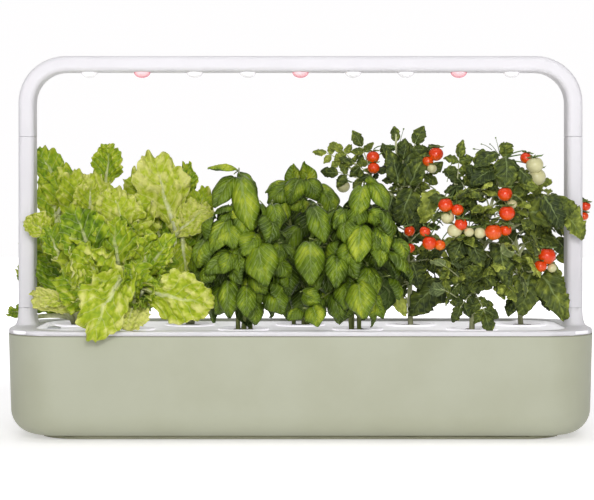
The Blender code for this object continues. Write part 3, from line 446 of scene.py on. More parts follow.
def make_soil():
    made, tree, shader = plain_material("growing_medium")
    place = piece_place(tree)
    crumbs = add(tree, "ShaderNodeTexVoronoi", {"Vector": place, "Scale": 900})
    fibres = add(tree, "ShaderNodeTexNoise", {"Vector": place, "Scale": 500, "Detail": 6, "Distortion": 1.5})
    fibres = fibres.outputs[0]
    tone = ramp_between(tree, calc(tree, "MULTIPLY", crumbs.outputs["Distance"], fibres), 0.05, 0.5)
    rough = calc(tree, "MULTIPLY_ADD", tone, 0.15, 0.8)
    surface(tree, shader, mixed(tree, tone, SOIL_DARK, SOIL_PALE), rough, fibres, 0.3 * MM, strength=0.8)
    return made


cup_plastic = moulded("cup_plastic", CHALK, CHALK_SHADE, gloss=0.45, grain=1800, depth=0.01 * MM)
# The cups carry the same painted glow near the deck.
paint_deck_glow(cup_plastic)
soil = make_soil()


def make_cup(pod):
    low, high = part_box(f"cup_{pod}")
    middle = (low + high) / 2
    flange = (high.x - low.x) / 2
    radius = flange - CUP_FLANGE
    seat = high.z - CUP_FLANGE_THICKNESS
    outline = [
        (flange - CUP_EDGE, high.z),
        (flange, high.z - CUP_EDGE),
        (flange, seat),
        (radius, seat),
        (CUP_FOOT_RADIUS + CUP_EDGE, low.z + 2 * CUP_EDGE),
        (CUP_FOOT_RADIUS - CUP_EDGE, low.z),
        (CUP_DRAIN_RADIUS, low.z),
        (CUP_DRAIN_RADIUS, low.z + CUP_WALL),
        (CUP_FOOT_RADIUS - CUP_WALL, low.z + CUP_WALL),
        (radius - CUP_WALL, seat),
        (radius - CUP_WALL, high.z - CUP_EDGE),
        (radius - CUP_WALL + CUP_EDGE, high.z),
    ]
    cup = turned(f"cup_{pod}_skin", outline, middle, CUP_STEPS, cup_plastic)
    weighted(cup)
    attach(cup, f"pod_{pod}")
    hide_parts(f"cup_{pod}")


def make_medium(pod):
    low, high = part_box(f"growing_medium_{pod}")
    middle = (low + high) / 2
    radius = (high.x - low.x) / 2
    foot = CUP_FOOT_RADIUS - CUP_WALL - MEDIUM_GAP
    outline = [(0, high.z)]
    for ring in range(1, MEDIUM_RINGS + 1):
        share = ring / MEDIUM_RINGS
        outline.append((radius * share, high.z - MEDIUM_CROWN * share))
    outline += [(foot, low.z), (0, low.z)]
    made = turned(f"growing_medium_{pod}_crumbs", outline, middle, CUP_STEPS, soil)
    for v in made.data.vertices:
        if v.co.z > high.z - 2 * MEDIUM_CROWN:
            lumps = (noise.noise(v.co * scale) * size for scale, size in MEDIUM_LUMPS)
            v.co.z += min(sum(lumps), 1.2 * MM) - 0.5 * MM
    shade_smooth(made)
    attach(made, f"pod_{pod}")
    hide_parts(f"growing_medium_{pod}")


for pod in range(1, POD_COUNT + 1):
    make_cup(pod)
    make_medium(pod)

# Float, inlet, board and driver
# A grey float rides in its well, and a black inlet for the lead sits in the back of the right socket. The LED
# board is an aluminium sheet, and the timer and its driver are potted in a black block on it.
FLOAT_GREY = (0.62, 0.63, 0.66, 1)
FLOAT_SHADE = (0.58, 0.59, 0.62, 1)
COAL = (0.02, 0.02, 0.022, 1)
COAL_SHADE = (0.03, 0.03, 0.032, 1)
METAL = (0.74, 0.75, 0.76, 1)
METAL_SHADE = (0.6, 0.61, 0.62, 1)
METAL_STRETCH = (1, 60, 60)  # the brushing runs along the bar

float_plastic = moulded("float_plastic", FLOAT_GREY, FLOAT_SHADE, gloss=0.6, grain=1800, depth=0.02 * MM)
black_plastic = moulded("black_plastic", COAL, COAL_SHADE, gloss=0.5, grain=1800, depth=0.03 * MM)
dress(float_plastic, "level_float")
dress(black_plastic, "power_inlet", "timer_driver")

board_metal, tree, shader = plain_material("board_metal")
along = add(tree, "ShaderNodeMapping", {"Vector": piece_place(tree), "Scale": METAL_STRETCH}).outputs[0]
brushing = noise_at(tree, along, 40, detail=4)
shader.inputs["Metallic"].default_value = 1
tree.links.new(mixed(tree, brushing, METAL, METAL_SHADE), shader.inputs["Base Color"])
tree.links.new(calc(tree, "MULTIPLY_ADD", brushing, 0.2, 0.28), shader.inputs["Roughness"])
dress(board_metal, "led_board")

# Lenses
# Nine clear domes under the lamp bar throw the light of one LED each. The second of every three is tinted
# red. They lie with their flanges on the strip that closes the bar, and stand out through its holes.
LENS_SIDES = 48
LENS_RINGS = 12
LENS_FLANGE = 1.2 * MM
LENS_FLANGE_THICKNESS = 1 * MM
LENS_BAR_BOTTOM = 390.9 * MM  # underside of the bar, from which the domes stand out
LENS_COUNT = 9
CLEAR = (0.93, 0.92, 0.94, 1)
CLEAR_EDGE = (0.7, 0.68, 0.7, 1)
RED = (0.95, 0.6, 0.64, 1)
RED_EDGE = (0.75, 0.1, 0.17, 1)


def lens_material(name, body_colour, edge_colour, glow):
    """A moulded lens: frosted, deeper in colour towards its edge, and given a faint painted glow of its own
    colour, though its LED is not lit.
    """
    made, tree, shader = plain_material(name)
    frost = noise_at(tree, piece_place(tree), 900)
    facing = add(tree, "ShaderNodeLayerWeight", {"Blend": 0.5}).outputs["Facing"]
    colour = mixed(tree, ramp_between(tree, facing, 0.2, 0.9), body_colour, edge_colour)
    tree.links.new(colour, shader.inputs["Base Color"])
    tree.links.new(colour, shader.inputs["Emission Color"])
    tree.links.new(calc(tree, "MULTIPLY_ADD", frost, 0.2, 0.05), shader.inputs["Roughness"])
    shader.inputs["Emission Strength"].default_value = glow
    return made


# Painted light: the lenses glow a little although the lamp is off.
clear_lens = lens_material("clear_lens", CLEAR, CLEAR_EDGE, glow=0.3)
red_lens = lens_material("red_lens", RED, RED_EDGE, glow=0.25)


def make_lens(index):
    node = f"lens_{index}"
    low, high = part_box(node)
    middle = (low + high) / 2
    flange = (high.x - low.x) / 2
    seat = high.z - LENS_FLANGE_THICKNESS
    radius = flange - LENS_FLANGE
    drop = LENS_BAR_BOTTOM - low.z
    outline = [(0, high.z), (flange, high.z), (flange, seat), (radius, seat), (radius, LENS_BAR_BOTTOM)]
    for i in range(1, LENS_RINGS + 1):
        turn = math.pi / 2 * i / LENS_RINGS
        outline.append((radius * math.cos(turn), LENS_BAR_BOTTOM - drop * math.sin(turn)))
    outline[-1] = (0, low.z)
    finish, slot = (red_lens, "red_lens") if index % 3 == 2 else (clear_lens, "clear_lens")
    made = turned(f"{node}_dome", outline, middle, LENS_SIDES, finish)
    weighted(made)
    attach(made, "lamp")
    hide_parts(node)


for index in range(1, LENS_COUNT + 1):
    make_lens(index)

# Lettuce
# Three loose-leaved lettuces grow in the left pods. Their broad, crinkled leaves are thin and yellow-green,
# darker inside, with a pale rib that stands out below, and a frilled edge.
LETTUCE_THICKNESS = 0.5 * MM
LETTUCE_CUTS = (32, 34)
LETTUCE_RIB = 2.4 * MM
LETTUCE_FRONT = -106 * MM  # in front of this a leaf leans out only half as far as it would
LETTUCE_STOPS = (
    (0.0, (0.05, 0.11, 0.005)), (0.35, (0.21, 0.34, 0.01)),
    (0.7, (0.45, 0.54, 0.025)), (1.0, (0.72, 0.73, 0.2)),
)
LETTUCE_UNDER_STOPS = (
    (0.0, (0.1, 0.18, 0.015)), (0.4, (0.31, 0.43, 0.04)),
    (0.75, (0.53, 0.6, 0.1)), (1.0, (0.74, 0.75, 0.32)),
)
LETTUCE_VEIN = (0.78, 0.8, 0.42, 1)
LETTUCE_RIB_DARK = (0.66, 0.7, 0.34, 1)
LETTUCE_RIB_PALE = (0.8, 0.82, 0.52, 1)
LETTUCE_SEED = 31
LETTUCE_FILL = 20
LETTUCE_LENGTH = 40 * MM  # of the shortest filling leaf
LETTUCE_WIDTH = 62 * MM  # of the broadest
GOLDEN_ANGLE = math.radians(137.5)

TONE = "tone"  # from 0, a dark leaf, to 1, a pale one; the low tones of listed leaves set deep inside a plant are painted shade
FRONT = Vector((0, -1, 0.2))
VEIN_SHARPNESS = 0.8
VEIN_WAVER = 0.09  # how far the veins stray, as a share of the leaf
VEIN_WAVES = 60  # of that straying, to a metre
LEAF_SHINE = 0.3
LEAF_DULL = 0.9  # roughness of a leaf or a stalk without gloss
LEAF_BLOTCHES = 45  # to a metre
LEAF_SPECKLE = 0.36
STALK_STREAKS = 320  # to a metre
STALK_STRETCH = (1, 1, 0.15)
STALK_RELIEF = 0.3 * MM
RIB_STEPS = 10
RIB_SINK = 1.6 * MM  # how far below the blade the middle of its rib lies
STALK_STEPS = 7
CROWN_SINK = 2 * MM


def make_vein_group():
    """A leaf's veins, from its own map: across the leaf from 0.5, and along it from 0 to 1."""
    inputs = [("Map", VECTOR), ("Count", NUMBER), ("Slant", NUMBER), ("Rib", NUMBER), ("Sharpness", NUMBER)]
    outputs = [("Rib", NUMBER), ("Veins", NUMBER), ("Quilting", NUMBER)]
    group, given, result = new_group("leaf_veins", inputs, outputs)
    parts = add(group, "ShaderNodeSeparateXYZ", {0: given.outputs["Map"]})
    from_rib = calc(group, "ABSOLUTE", calc(group, "SUBTRACT", parts.outputs["X"], 0.5))
    along = parts.outputs["Y"]
    taper = calc(group, "MULTIPLY", given.outputs["Rib"], calc(group, "SUBTRACT", 1.12, along))
    rib = calc(group, "SUBTRACT", 1, ramp_between(group, calc(group, "DIVIDE", from_rib, taper), 0.3, 1))
    rib = calc(group, "MULTIPLY", rib, calc(group, "SUBTRACT", 1, ramp_between(group, along, 0.35, 1)))
    bent = calc(group, "POWER", from_rib, 0.85)
    phase = calc(group, "SUBTRACT", along, calc(group, "MULTIPLY", bent, given.outputs["Slant"]))
    turns = calc(group, "FRACT", calc(group, "MULTIPLY", phase, given.outputs["Count"]))
    near = calc(group, "MULTIPLY", calc(group, "ABSOLUTE", calc(group, "SUBTRACT", turns, 0.5)), 2)
    veins = ramp_between(group, near, given.outputs["Sharpness"], 1)
    quilting = calc(group, "SUBTRACT", 1, calc(group, "MULTIPLY", near, near))
    group.links.new(rib, result.inputs["Rib"])
    group.links.new(veins, result.inputs["Veins"])
    group.links.new(quilting, result.inputs["Quilting"])
    return group


LEAF_VEINS = make_vein_group()


def colour_band(tree, level, stops):
    """The colour at that level between the stops."""
    band = add(tree, "ShaderNodeValToRGB", {0: level})
    for _ in range(len(stops) - 2):
        band.color_ramp.elements.new(0.5)
    for element, (position, colour) in zip(band.color_ramp.elements, stops):
        element.position = position
        element.color = (*colour, 1)
    return band.outputs[0]


def leaf_material(
    name, stops, vein_colour, count, slant, rib, rib_share, vein_share, crinkle, relief, gloss, blotch=0.6
):
    """A leaf's skin. Its colour runs through the stops with the leaf's own tone and with soft blotches."""
    made, tree, shader = plain_material(name)
    place = piece_place(tree)
    own_map = add(tree, "ShaderNodeUVMap", uv_map="leaf").outputs[0]
    waver = add(tree, "ShaderNodeTexNoise", {"Vector": place, "Scale": VEIN_WAVES, "Detail": 2}).outputs[1]
    waver = add(tree, "ShaderNodeVectorMath", {0: waver, 1: (0.5, 0.5, 0.5)}, operation="SUBTRACT").outputs[0]
    waver = add(tree, "ShaderNodeVectorMath", {0: waver, 3: VEIN_WAVER}, operation="SCALE").outputs[0]
    own_map = add(tree, "ShaderNodeVectorMath", {0: own_map, 1: waver}, operation="ADD").outputs[0]
    values = {"Map": own_map, "Count": count, "Slant": slant, "Rib": rib, "Sharpness": VEIN_SHARPNESS}
    veins = add(tree, "ShaderNodeGroup", values, node_tree=LEAF_VEINS).outputs
    tone = add(tree, "ShaderNodeAttribute", attribute_name=TONE).outputs["Fac"]
    speckle = noise_at(tree, place, crinkle)
    drift = calc(tree, "MULTIPLY_ADD", noise_at(tree, place, LEAF_BLOTCHES, detail=3), blotch, -blotch / 2)
    fine = calc(tree, "MULTIPLY_ADD", speckle, LEAF_SPECKLE, -LEAF_SPECKLE / 2)
    level = calc(tree, "ADD", calc(tree, "ADD", tone, drift), fine)
    faint = calc(tree, "MULTIPLY", veins["Veins"], vein_share)
    colour = mixed(tree, faint, colour_band(tree, level, stops), vein_colour)
    colour = mixed(tree, calc(tree, "MULTIPLY", veins["Rib"], rib_share), colour, vein_colour)
    height = calc(tree, "ADD", calc(tree, "MULTIPLY", veins["Quilting"], 0.6), speckle)
    surface(tree, shader, colour, calc(tree, "MULTIPLY_ADD", speckle, 0.2, LEAF_DULL - gloss), height, relief)
    shader.inputs["Specular IOR Level"].default_value = LEAF_SHINE
    return made


def stalk_material(name, low_colour, high_colour, gloss=0.5):
    """A green stalk, streaked along its length."""
    made, tree, shader = plain_material(name)
    place = piece_place(tree)
    long_way = add(tree, "ShaderNodeMapping", {"Vector": place, "Scale": STALK_STRETCH}).outputs[0]
    streaks = noise_at(tree, long_way, STALK_STREAKS, detail=3)
    colour = mixed(tree, ramp_between(tree, streaks, 0.3, 0.7), low_colour, high_colour)
    rough = calc(tree, "MULTIPLY_ADD", streaks, 0.2, LEAF_DULL - gloss)
    surface(tree, shader, colour, rough, streaks, STALK_RELIEF)
    return made


def spot(across, down, depth):
    """The place that the view shows at that column and row, that many mm behind the garden's middle."""
    reach = (VIEW_DISTANCE + depth * MM) / VIEW_LENGTH_PX
    x = VIEW_SIDE + (across - PICTURE_WIDTH_PX / 2) * reach
    z = VIEW_HEIGHT + (LEVEL_ROW_PX - down) * reach
    return Vector((x, depth * MM, z))


def new_leaves():
    """A mesh for blades, which carries each leaf's own map and its tone."""
    bm = bmesh.new()
    bm.loops.layers.uv.new("leaf")
    bm.verts.layers.float.new(TONE)
    return bm


def blade(bm, base, tip, width, outline, relief, cuts, face, turn, bow, tone):
    """A leaf blade from its base to its tip: a sheet shaped by its outline and its relief, with its upper
    side towards face, turned about its rib and arched by bow. Returns its rib."""
    run = tip - base
    along = run.normalized()
    up = (face - along * face.dot(along)).normalized()
    up.rotate(Quaternion(along, math.radians(turn)))
    tones = bm.verts.layers.float[TONE]
    own_map = bm.loops.layers.uv["leaf"]
    grid = bmesh.ops.create_grid(bm, x_segments=cuts[0], y_segments=cuts[1], size=1)["verts"]
    spread = {}
    for v in grid:
        a = v.co.x * math.sqrt(1 - v.co.y**2 / 2)
        b = v.co.y * math.sqrt(1 - v.co.x**2 / 2)
        swell, a_shift, b_shift, shade = relief(a, b)
        t = (b * (1 + b_shift) + 1) / 2
        lateral = a * (1 + a_shift) * outline(t) * width / 2
        arch = 4 * t * (1 - t)
        slope = 4 * (1 - 2 * t)
        heading = (run + up * bow * slope).normalized()
        normal = (up - heading * up.dot(heading)).normalized()
        across = heading.cross(normal)
        v.co = base + run * t + up * bow * arch + across * lateral + normal * swell * width
        # The relief's shade is painted light and shade, added to the leaf's tone.
        v[tones] = tone + shade
        spread[v] = (0.5 + lateral / run.length, t)
    for f in {f for v in grid for f in v.link_faces}:
        for loop in f.loops:
            loop[own_map].uv = spread[loop.vert]
    rib = []
    for i in range(RIB_STEPS + 1):
        t = i / RIB_STEPS
        swell = relief(0, 2 * t - 1)[0] * width
        rib.append(base + run * t + up * bow * 4 * t * (1 - t) + up * (swell - RIB_SINK))
    return rib


def stalk(bm, path, radii, sides=6):
    """A closed round stalk through the points of its path, with its radius at each."""
    heading = (path[1] - path[0]).normalized()
    length = (path[1] - path[0]).length
    start = bmesh.ops.create_cone(
        bm,
        cap_ends=True,
        segments=sides,
        radius1=radii[0],
        radius2=radii[1],
        depth=length,
        matrix=Matrix.LocRotScale((path[0] + path[1]) / 2, heading.to_track_quat("Z", "Y"), None),
    )["verts"]
    faces = {f for v in start for f in v.link_faces}
    for f in faces:
        f.normal_update()
    cap = max(faces, key=lambda f: f.normal.dot(heading))
    for i in range(2, len(path)):
        grown = bmesh.ops.extrude_face_region(bm, geom=[cap])["geom"]
        cap = next(g for g in grown if isinstance(g, bmesh.types.BMFace))
        onward = (path[i] - path[i - 1]).normalized()
        turn = heading.rotation_difference(onward).to_matrix().to_4x4()
        size = Matrix.Scale(radii[i] / radii[i - 1], 4)
        move = Matrix.Translation(path[i]) @ turn @ size @ Matrix.Translation(-path[i - 1])
        bmesh.ops.transform(bm, matrix=move, verts=cap.verts[:])
        heading = onward


def tapered(first, last, count):
    return [first + (last - first) * i / (count - 1) for i in range(count)]


def finish_piece(name, bm, finishes, body, thickness=0):
    """Makes the mesh a smooth piece that rides on its body."""
    made = as_object(name, bm, *finishes)
    shade_smooth(made)
    if thickness:
        wall = made.modifiers.new("thickness", "SOLIDIFY")
        wall.thickness = thickness
        wall.offset = -1
        wall.material_offset = 1
        wall.material_offset_rim = 1
    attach(made, body)
    return made


def smooth_step(low, high, value):
    share = min(1, max(0, (value - low) / (high - low)))
    return share * share * (3 - 2 * share)


def lettuce_outline(t):
    return 0.36 + 0.64 * smooth_step(0, 0.5, t)


def puckers(place, size):
    """How high a leaf is puffed up there, between sharp creases: 0 in a crease, about 0.4 between them."""
    return abs(noise.noise(place * size)) + 0.5 * abs(noise.noise(place * size * 2.2))


def random_place(rng, axes=3):
    """A place far out in the noise, so that no two leaves swell alike."""
    return Vector([rng.uniform(-50, 50) if axis < axes else 0 for axis in range(3)])


def lettuce_relief(rng):
    """The swell of one lettuce leaf: a shallow cup, puckers between its veins and an uneven, frilled edge. Its
    shade is painted light and shade, paler on the puffs and darker in the creases, and a little paler at the
    edge.
    """
    seed = random_place(rng)

    def relief(a, b):
        r = min(1, math.hypot(a, b))
        angle = math.atan2(a, b + 0.35)
        rim = Vector((math.sin(angle), math.cos(angle), 0))
        edge = r**4
        puff = puckers(seed + Vector((a, b, 0)), 3.8)
        swell = 0.1 * a * a - 0.05 + 0.17 * puff + 0.14 * noise.noise(seed - Vector((a, b, 0)) * 1.5)
        swell += edge * (0.3 * noise.noise(seed + rim * 2.8) + 0.22 * noise.noise(seed - rim * 7.5))
        jag = edge * (0.24 * noise.noise(seed + rim * 3) + 0.15 * noise.noise(seed + rim * 8.5))
        return swell, jag, jag * 0.6, 0.75 * (puff - 0.34) + 0.12 * edge

    return relief


# Each leaf: where the view shows its blade's base and tip, and how far behind the middle each is in mm; its
# width in mm, how many degrees it is turned about its rib, its bow in mm and its tone.
LETTUCE_LEAVES = {
    1: (
        ((66, 208, 40), (38, 149, 45), 38, 20, 6, 0.42),
        ((104, 192, 34), (109, 143, 30), 35, -8, -4, 0.5),
        ((34, 317, 45), (7, 312, 62), 17, 30, 3, 0.35),
        ((33, 302, 38), (17, 276, 38), 9, 60, 2, 0.3),
        ((84, 236, 22), (76, 174, 16), 50, 10, 8, 0.62),
        ((97, 236, 20), (101, 178, 12), 46, -15, 7, 0.72),
        ((58, 240, 30), (47, 172, 34), 44, 25, 8, 0.5),
        ((64, 300, 12), (44, 252, 22), 42, 20, 6, 0.36),
        ((80, 296, 14), (58, 236, 30), 46, 10, 6, 0.16),
        ((60, 214, 26), (72, 168, 24), 40, -20, 5, 0.5),
        ((88, 222, 18), (92, 176, 10), 40, 10, 6, 0.7),
        ((48, 214, 34), (50, 180, 36), 30, 30, 4, 0.5),
        ((76, 300, 24), (92, 240, 30), 50, -10, 8, 0.14),
    ),
    2: (
        ((52, 236, -30), (27, 216, -27), 31, 15, -4, 0.74),
        ((97, 266, -60), (71, 207, -76), 52, 8, 7, 0.28),
        ((67, 238, -66), (76, 290, -86), 24, -55, 5, 0.66),
        ((88, 308, -66), (30, 292, -44), 27, -30, 8, 0.92),
        ((92, 300, -70), (40, 305, -60), 20, 35, 5, 0.8),
        ((129, 268, -66), (90, 341, -108), 54, 6, 12, 0.64),
        ((134, 300, -62), (126, 331, -93), 38, -10, 5, 0.95),
        ((143, 290, -60), (215, 305, -86), 54, 12, 9, 0.7),
        ((141, 278, -48), (171, 234, -74), 27, 25, 6, 0.5),
        ((120, 270, -40), (126, 220, -58), 34, -20, 6, 0.22),
        ((112, 264, -44), (104, 222, -62), 27, 30, 6, 0.3),
        ((126, 242, -26), (112, 187, -44), 50, 10, 8, 0.78),
        ((134, 262, -22), (146, 196, -30), 48, -15, 7, 0.66),
        ((62, 268, -40), (46, 226, -34), 30, 30, 5, 0.4),
        ((140, 262, -20), (170, 250, -34), 46, 20, 6, 0.2),
        ((100, 300, -30), (72, 262, -34), 48, 15, 6, 0.12),
        ((120, 312, -40), (150, 276, -40), 44, -15, 6, 0.16),
    ),
    3: (
        ((175, 231, 12), (153, 158, 18), 60, 6, 7, 0.82),
        ((188, 204, 40), (184, 163, 44), 30, -10, 5, 0.46),
        ((158, 236, 22), (132, 190, 24), 44, 10, 6, 0.74),
        ((166, 250, 26), (150, 212, 30), 46, 0, 6, 0.34),
        ((196, 226, 24), (206, 190, 28), 32, -15, 5, 0.6),
        ((174, 238, 10), (212, 208, 12), 40, -18, 7, 0.84),
        ((150, 230, 26), (135, 172, 22), 44, 15, 7, 0.7),
        ((182, 236, 8), (190, 289, 10), 34, 10, 8, 0.66),
        ((200, 262, 12), (210, 222, 16), 36, -25, 6, 0.56),
        ((176, 270, 14), (166, 228, 16), 44, 12, 6, 0.3),
        ((190, 300, 16), (206, 262, 14), 40, -20, 6, 0.26),
        ((180, 316, 20), (160, 268, 24), 50, 10, 6, 0.14),
        ((196, 300, 34), (200, 246, 40), 52, -10, 6, 0.16),
    ),
}

lettuce_leaf = leaf_material(
    "lettuce_leaf", LETTUCE_STOPS, LETTUCE_VEIN, count=7, slant=0.8, rib=0.05, rib_share=0.75,
    vein_share=0.26, crinkle=330, relief=1.3 * MM, gloss=0.4, blotch=0.3,
)
lettuce_underside = leaf_material(
    "lettuce_underside", LETTUCE_UNDER_STOPS, LETTUCE_VEIN, count=6, slant=0.8, rib=0.08, rib_share=0.8,
    vein_share=0.4, crinkle=260, relief=1.2 * MM, gloss=0.35,
)
lettuce_rib = stalk_material("lettuce_rib", LETTUCE_RIB_DARK, LETTUCE_RIB_PALE)


def crown_of(pod):
    """Where the plant of that pod grows out of its medium."""
    low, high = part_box(f"cup_{pod}")
    return Vector(((low.x + high.x) / 2, (low.y + high.y) / 2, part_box("growing_medium_1")[1].z - CROWN_SINK))


def shell(node, count, height_share):
    """Directions spread evenly around the room of a plant's solid, with that room's middle and half sizes."""
    low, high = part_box(node)
    high.z = low.z + (high.z - low.z) * height_share
    middle = (low + high) / 2
    reach = (high - low) / 2
    for i in range(count):
        level = 1 - (2 * i + 1) / count
        ring = math.sqrt(1 - level * level)
        heading = GOLDEN_ANGLE * i + middle.x * 40
        yield Vector((ring * math.cos(heading), ring * math.sin(heading), level)), middle, reach


def arc_to(start, end, rise):
    """A stalk's path that leaves its start upwards and comes to its end."""
    arrival = end.lerp(start, 0.3) + UP * rise * 0.3
    return interpolate_bezier(start, start + UP * rise, arrival, end, STALK_STEPS)


def lettuce(pod):
    rng = random.Random(LETTUCE_SEED + pod)
    crown = crown_of(pod)
    leaves = new_leaves()
    ribs = bmesh.new()

    def grow(base, tip, width, turn, bow, tone, face=FRONT):
        relief = lettuce_relief(rng)
        shape = dict(face=face, turn=turn, bow=bow, tone=tone)
        rib = blade(leaves, base, tip, width, lettuce_outline, relief, LETTUCE_CUTS, **shape)
        start = crown.lerp(base, 0.12)
        stalk(ribs, arc_to(start, base, 14 * MM), tapered(LETTUCE_RIB * 1.3, LETTUCE_RIB, STALK_STEPS))
        stalk(ribs, rib[:-2], tapered(LETTUCE_RIB * 1.05, 0.4 * MM, RIB_STEPS - 1))

    for base, tip, width, turn, bow, tone in LETTUCE_LEAVES[pod]:
        grow(spot(*base), spot(*tip), width * MM, turn, bow * MM, tone)
    node = f"lettuce_{pod}"
    for out, middle, reach in shell(node, LETTUCE_FILL, 0.78):
        tip = middle + reach * out * 0.9
        base = crown.lerp(tip, 0.36) + UP * 5 * MM
        if (tip - base).length < LETTUCE_LENGTH:
            tip = base + (tip - base).normalized() * LETTUCE_LENGTH
        face = Vector((out.x, out.y, 0)) * 0.8 + FRONT * 0.5 + UP * (0.5 - 0.3 * out.z)
        # Painted shade and light: filling leaves low in the plant are darker and those high up paler.
        tone = 0.2 + 0.2 * (out.z + 1) + rng.uniform(-0.12, 0.12)
        width = min(LETTUCE_WIDTH, (tip - base).length * rng.uniform(0.62, 0.8))
        grow(base, tip, width, rng.uniform(-25, 25), rng.uniform(2, 10) * MM, tone, face=face.normalized())
    for v in (*leaves.verts, *ribs.verts):
        v.co.y = max(v.co.y, (v.co.y + LETTUCE_FRONT) / 2)
    finishes = (lettuce_leaf, lettuce_underside)
    made = finish_piece(f"{node}_leaves", leaves, finishes, f"pod_{pod}", LETTUCE_THICKNESS)
    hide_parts(node)
    finish_piece(f"{node}_ribs", ribs, (lettuce_rib,), f"pod_{pod}")


for pod in (1, 2, 3):
    lettuce(pod)

# Basil
# Three bushy basil plants grow in the middle pods. Pairs of glossy, cupped leaves bulge between their curved
# veins and hang from short stalks on several square stems.
BASIL_THICKNESS = 0.4 * MM
BASIL_CUTS = (12, 18)
BASIL_VEINS = 6
BASIL_SLANT = 1.3
BASIL_SEED = 52
BASIL_STOPS = (
    (0.0, (0.035, 0.062, 0.003)), (0.3, (0.072, 0.122, 0.005)),
    (0.6, (0.165, 0.25, 0.008)), (1.0, (0.47, 0.54, 0.035)),
)
BASIL_UNDER_STOPS = (
    (0.0, (0.03, 0.055, 0.012)), (0.4, (0.1, 0.16, 0.03)),
    (0.8, (0.22, 0.31, 0.07)), (1.0, (0.36, 0.44, 0.14)),
)
BASIL_VEIN = (0.4, 0.5, 0.17, 1)
BASIL_STEM_DARK = (0.24, 0.3, 0.08, 1)
BASIL_STEM_PALE = (0.4, 0.44, 0.16, 1)
BASIL_STEM = 2.5 * MM
BASIL_FILL = ((0.78, 34), (0.45, 12))  # shares of the plant's room, and the leaves at each
BASIL_AHEAD = 14  # mm that the front plants' listed leaves stand further forward than listed
FRONT_SHARE = 0.3  # of the plant's room in front of its middle, as far as its filling leaves stand forward
STEM_STEPS = 9


def basil_outline(t):
    return (1.06 - 0.12 * t) * (1 - 0.45 * smooth_step(0.62, 1, t))


def basil_relief(rng, cupped):
    """The swell of one basil leaf: its edges turn down, and it bulges between the veins. Its shade paints
    light on the bulges and shade towards the edge, over a random drift in tone.
    """
    seed = random_place(rng, axes=2)
    lean = rng.uniform(-0.1, 0.1)

    def relief(a, b):
        r = min(1, math.hypot(a, b))
        t = (b + 1) / 2
        turns = BASIL_VEINS * (t - 0.5 * abs(a) ** 0.85) % 1
        bulge = 4 * turns * (1 - turns) * (1 - r**4) * min(1, 4 * abs(a))
        swell = -0.3 * cupped * a * a - 0.1 * cupped * b * b + lean * a
        swell += 0.045 * bulge - 0.08 * math.exp(-((a / 0.14) ** 2))
        swell += 0.09 * noise.noise(seed + Vector((a, b, 0)) * 1.8)
        drift = noise.noise(seed - Vector((a, b, 0)) * 1.5)
        return swell, 0.03 * math.sin(9 * t + seed.x), 0, 0.2 * bulge - 0.2 * r**4 + 0.34 * drift

    return relief


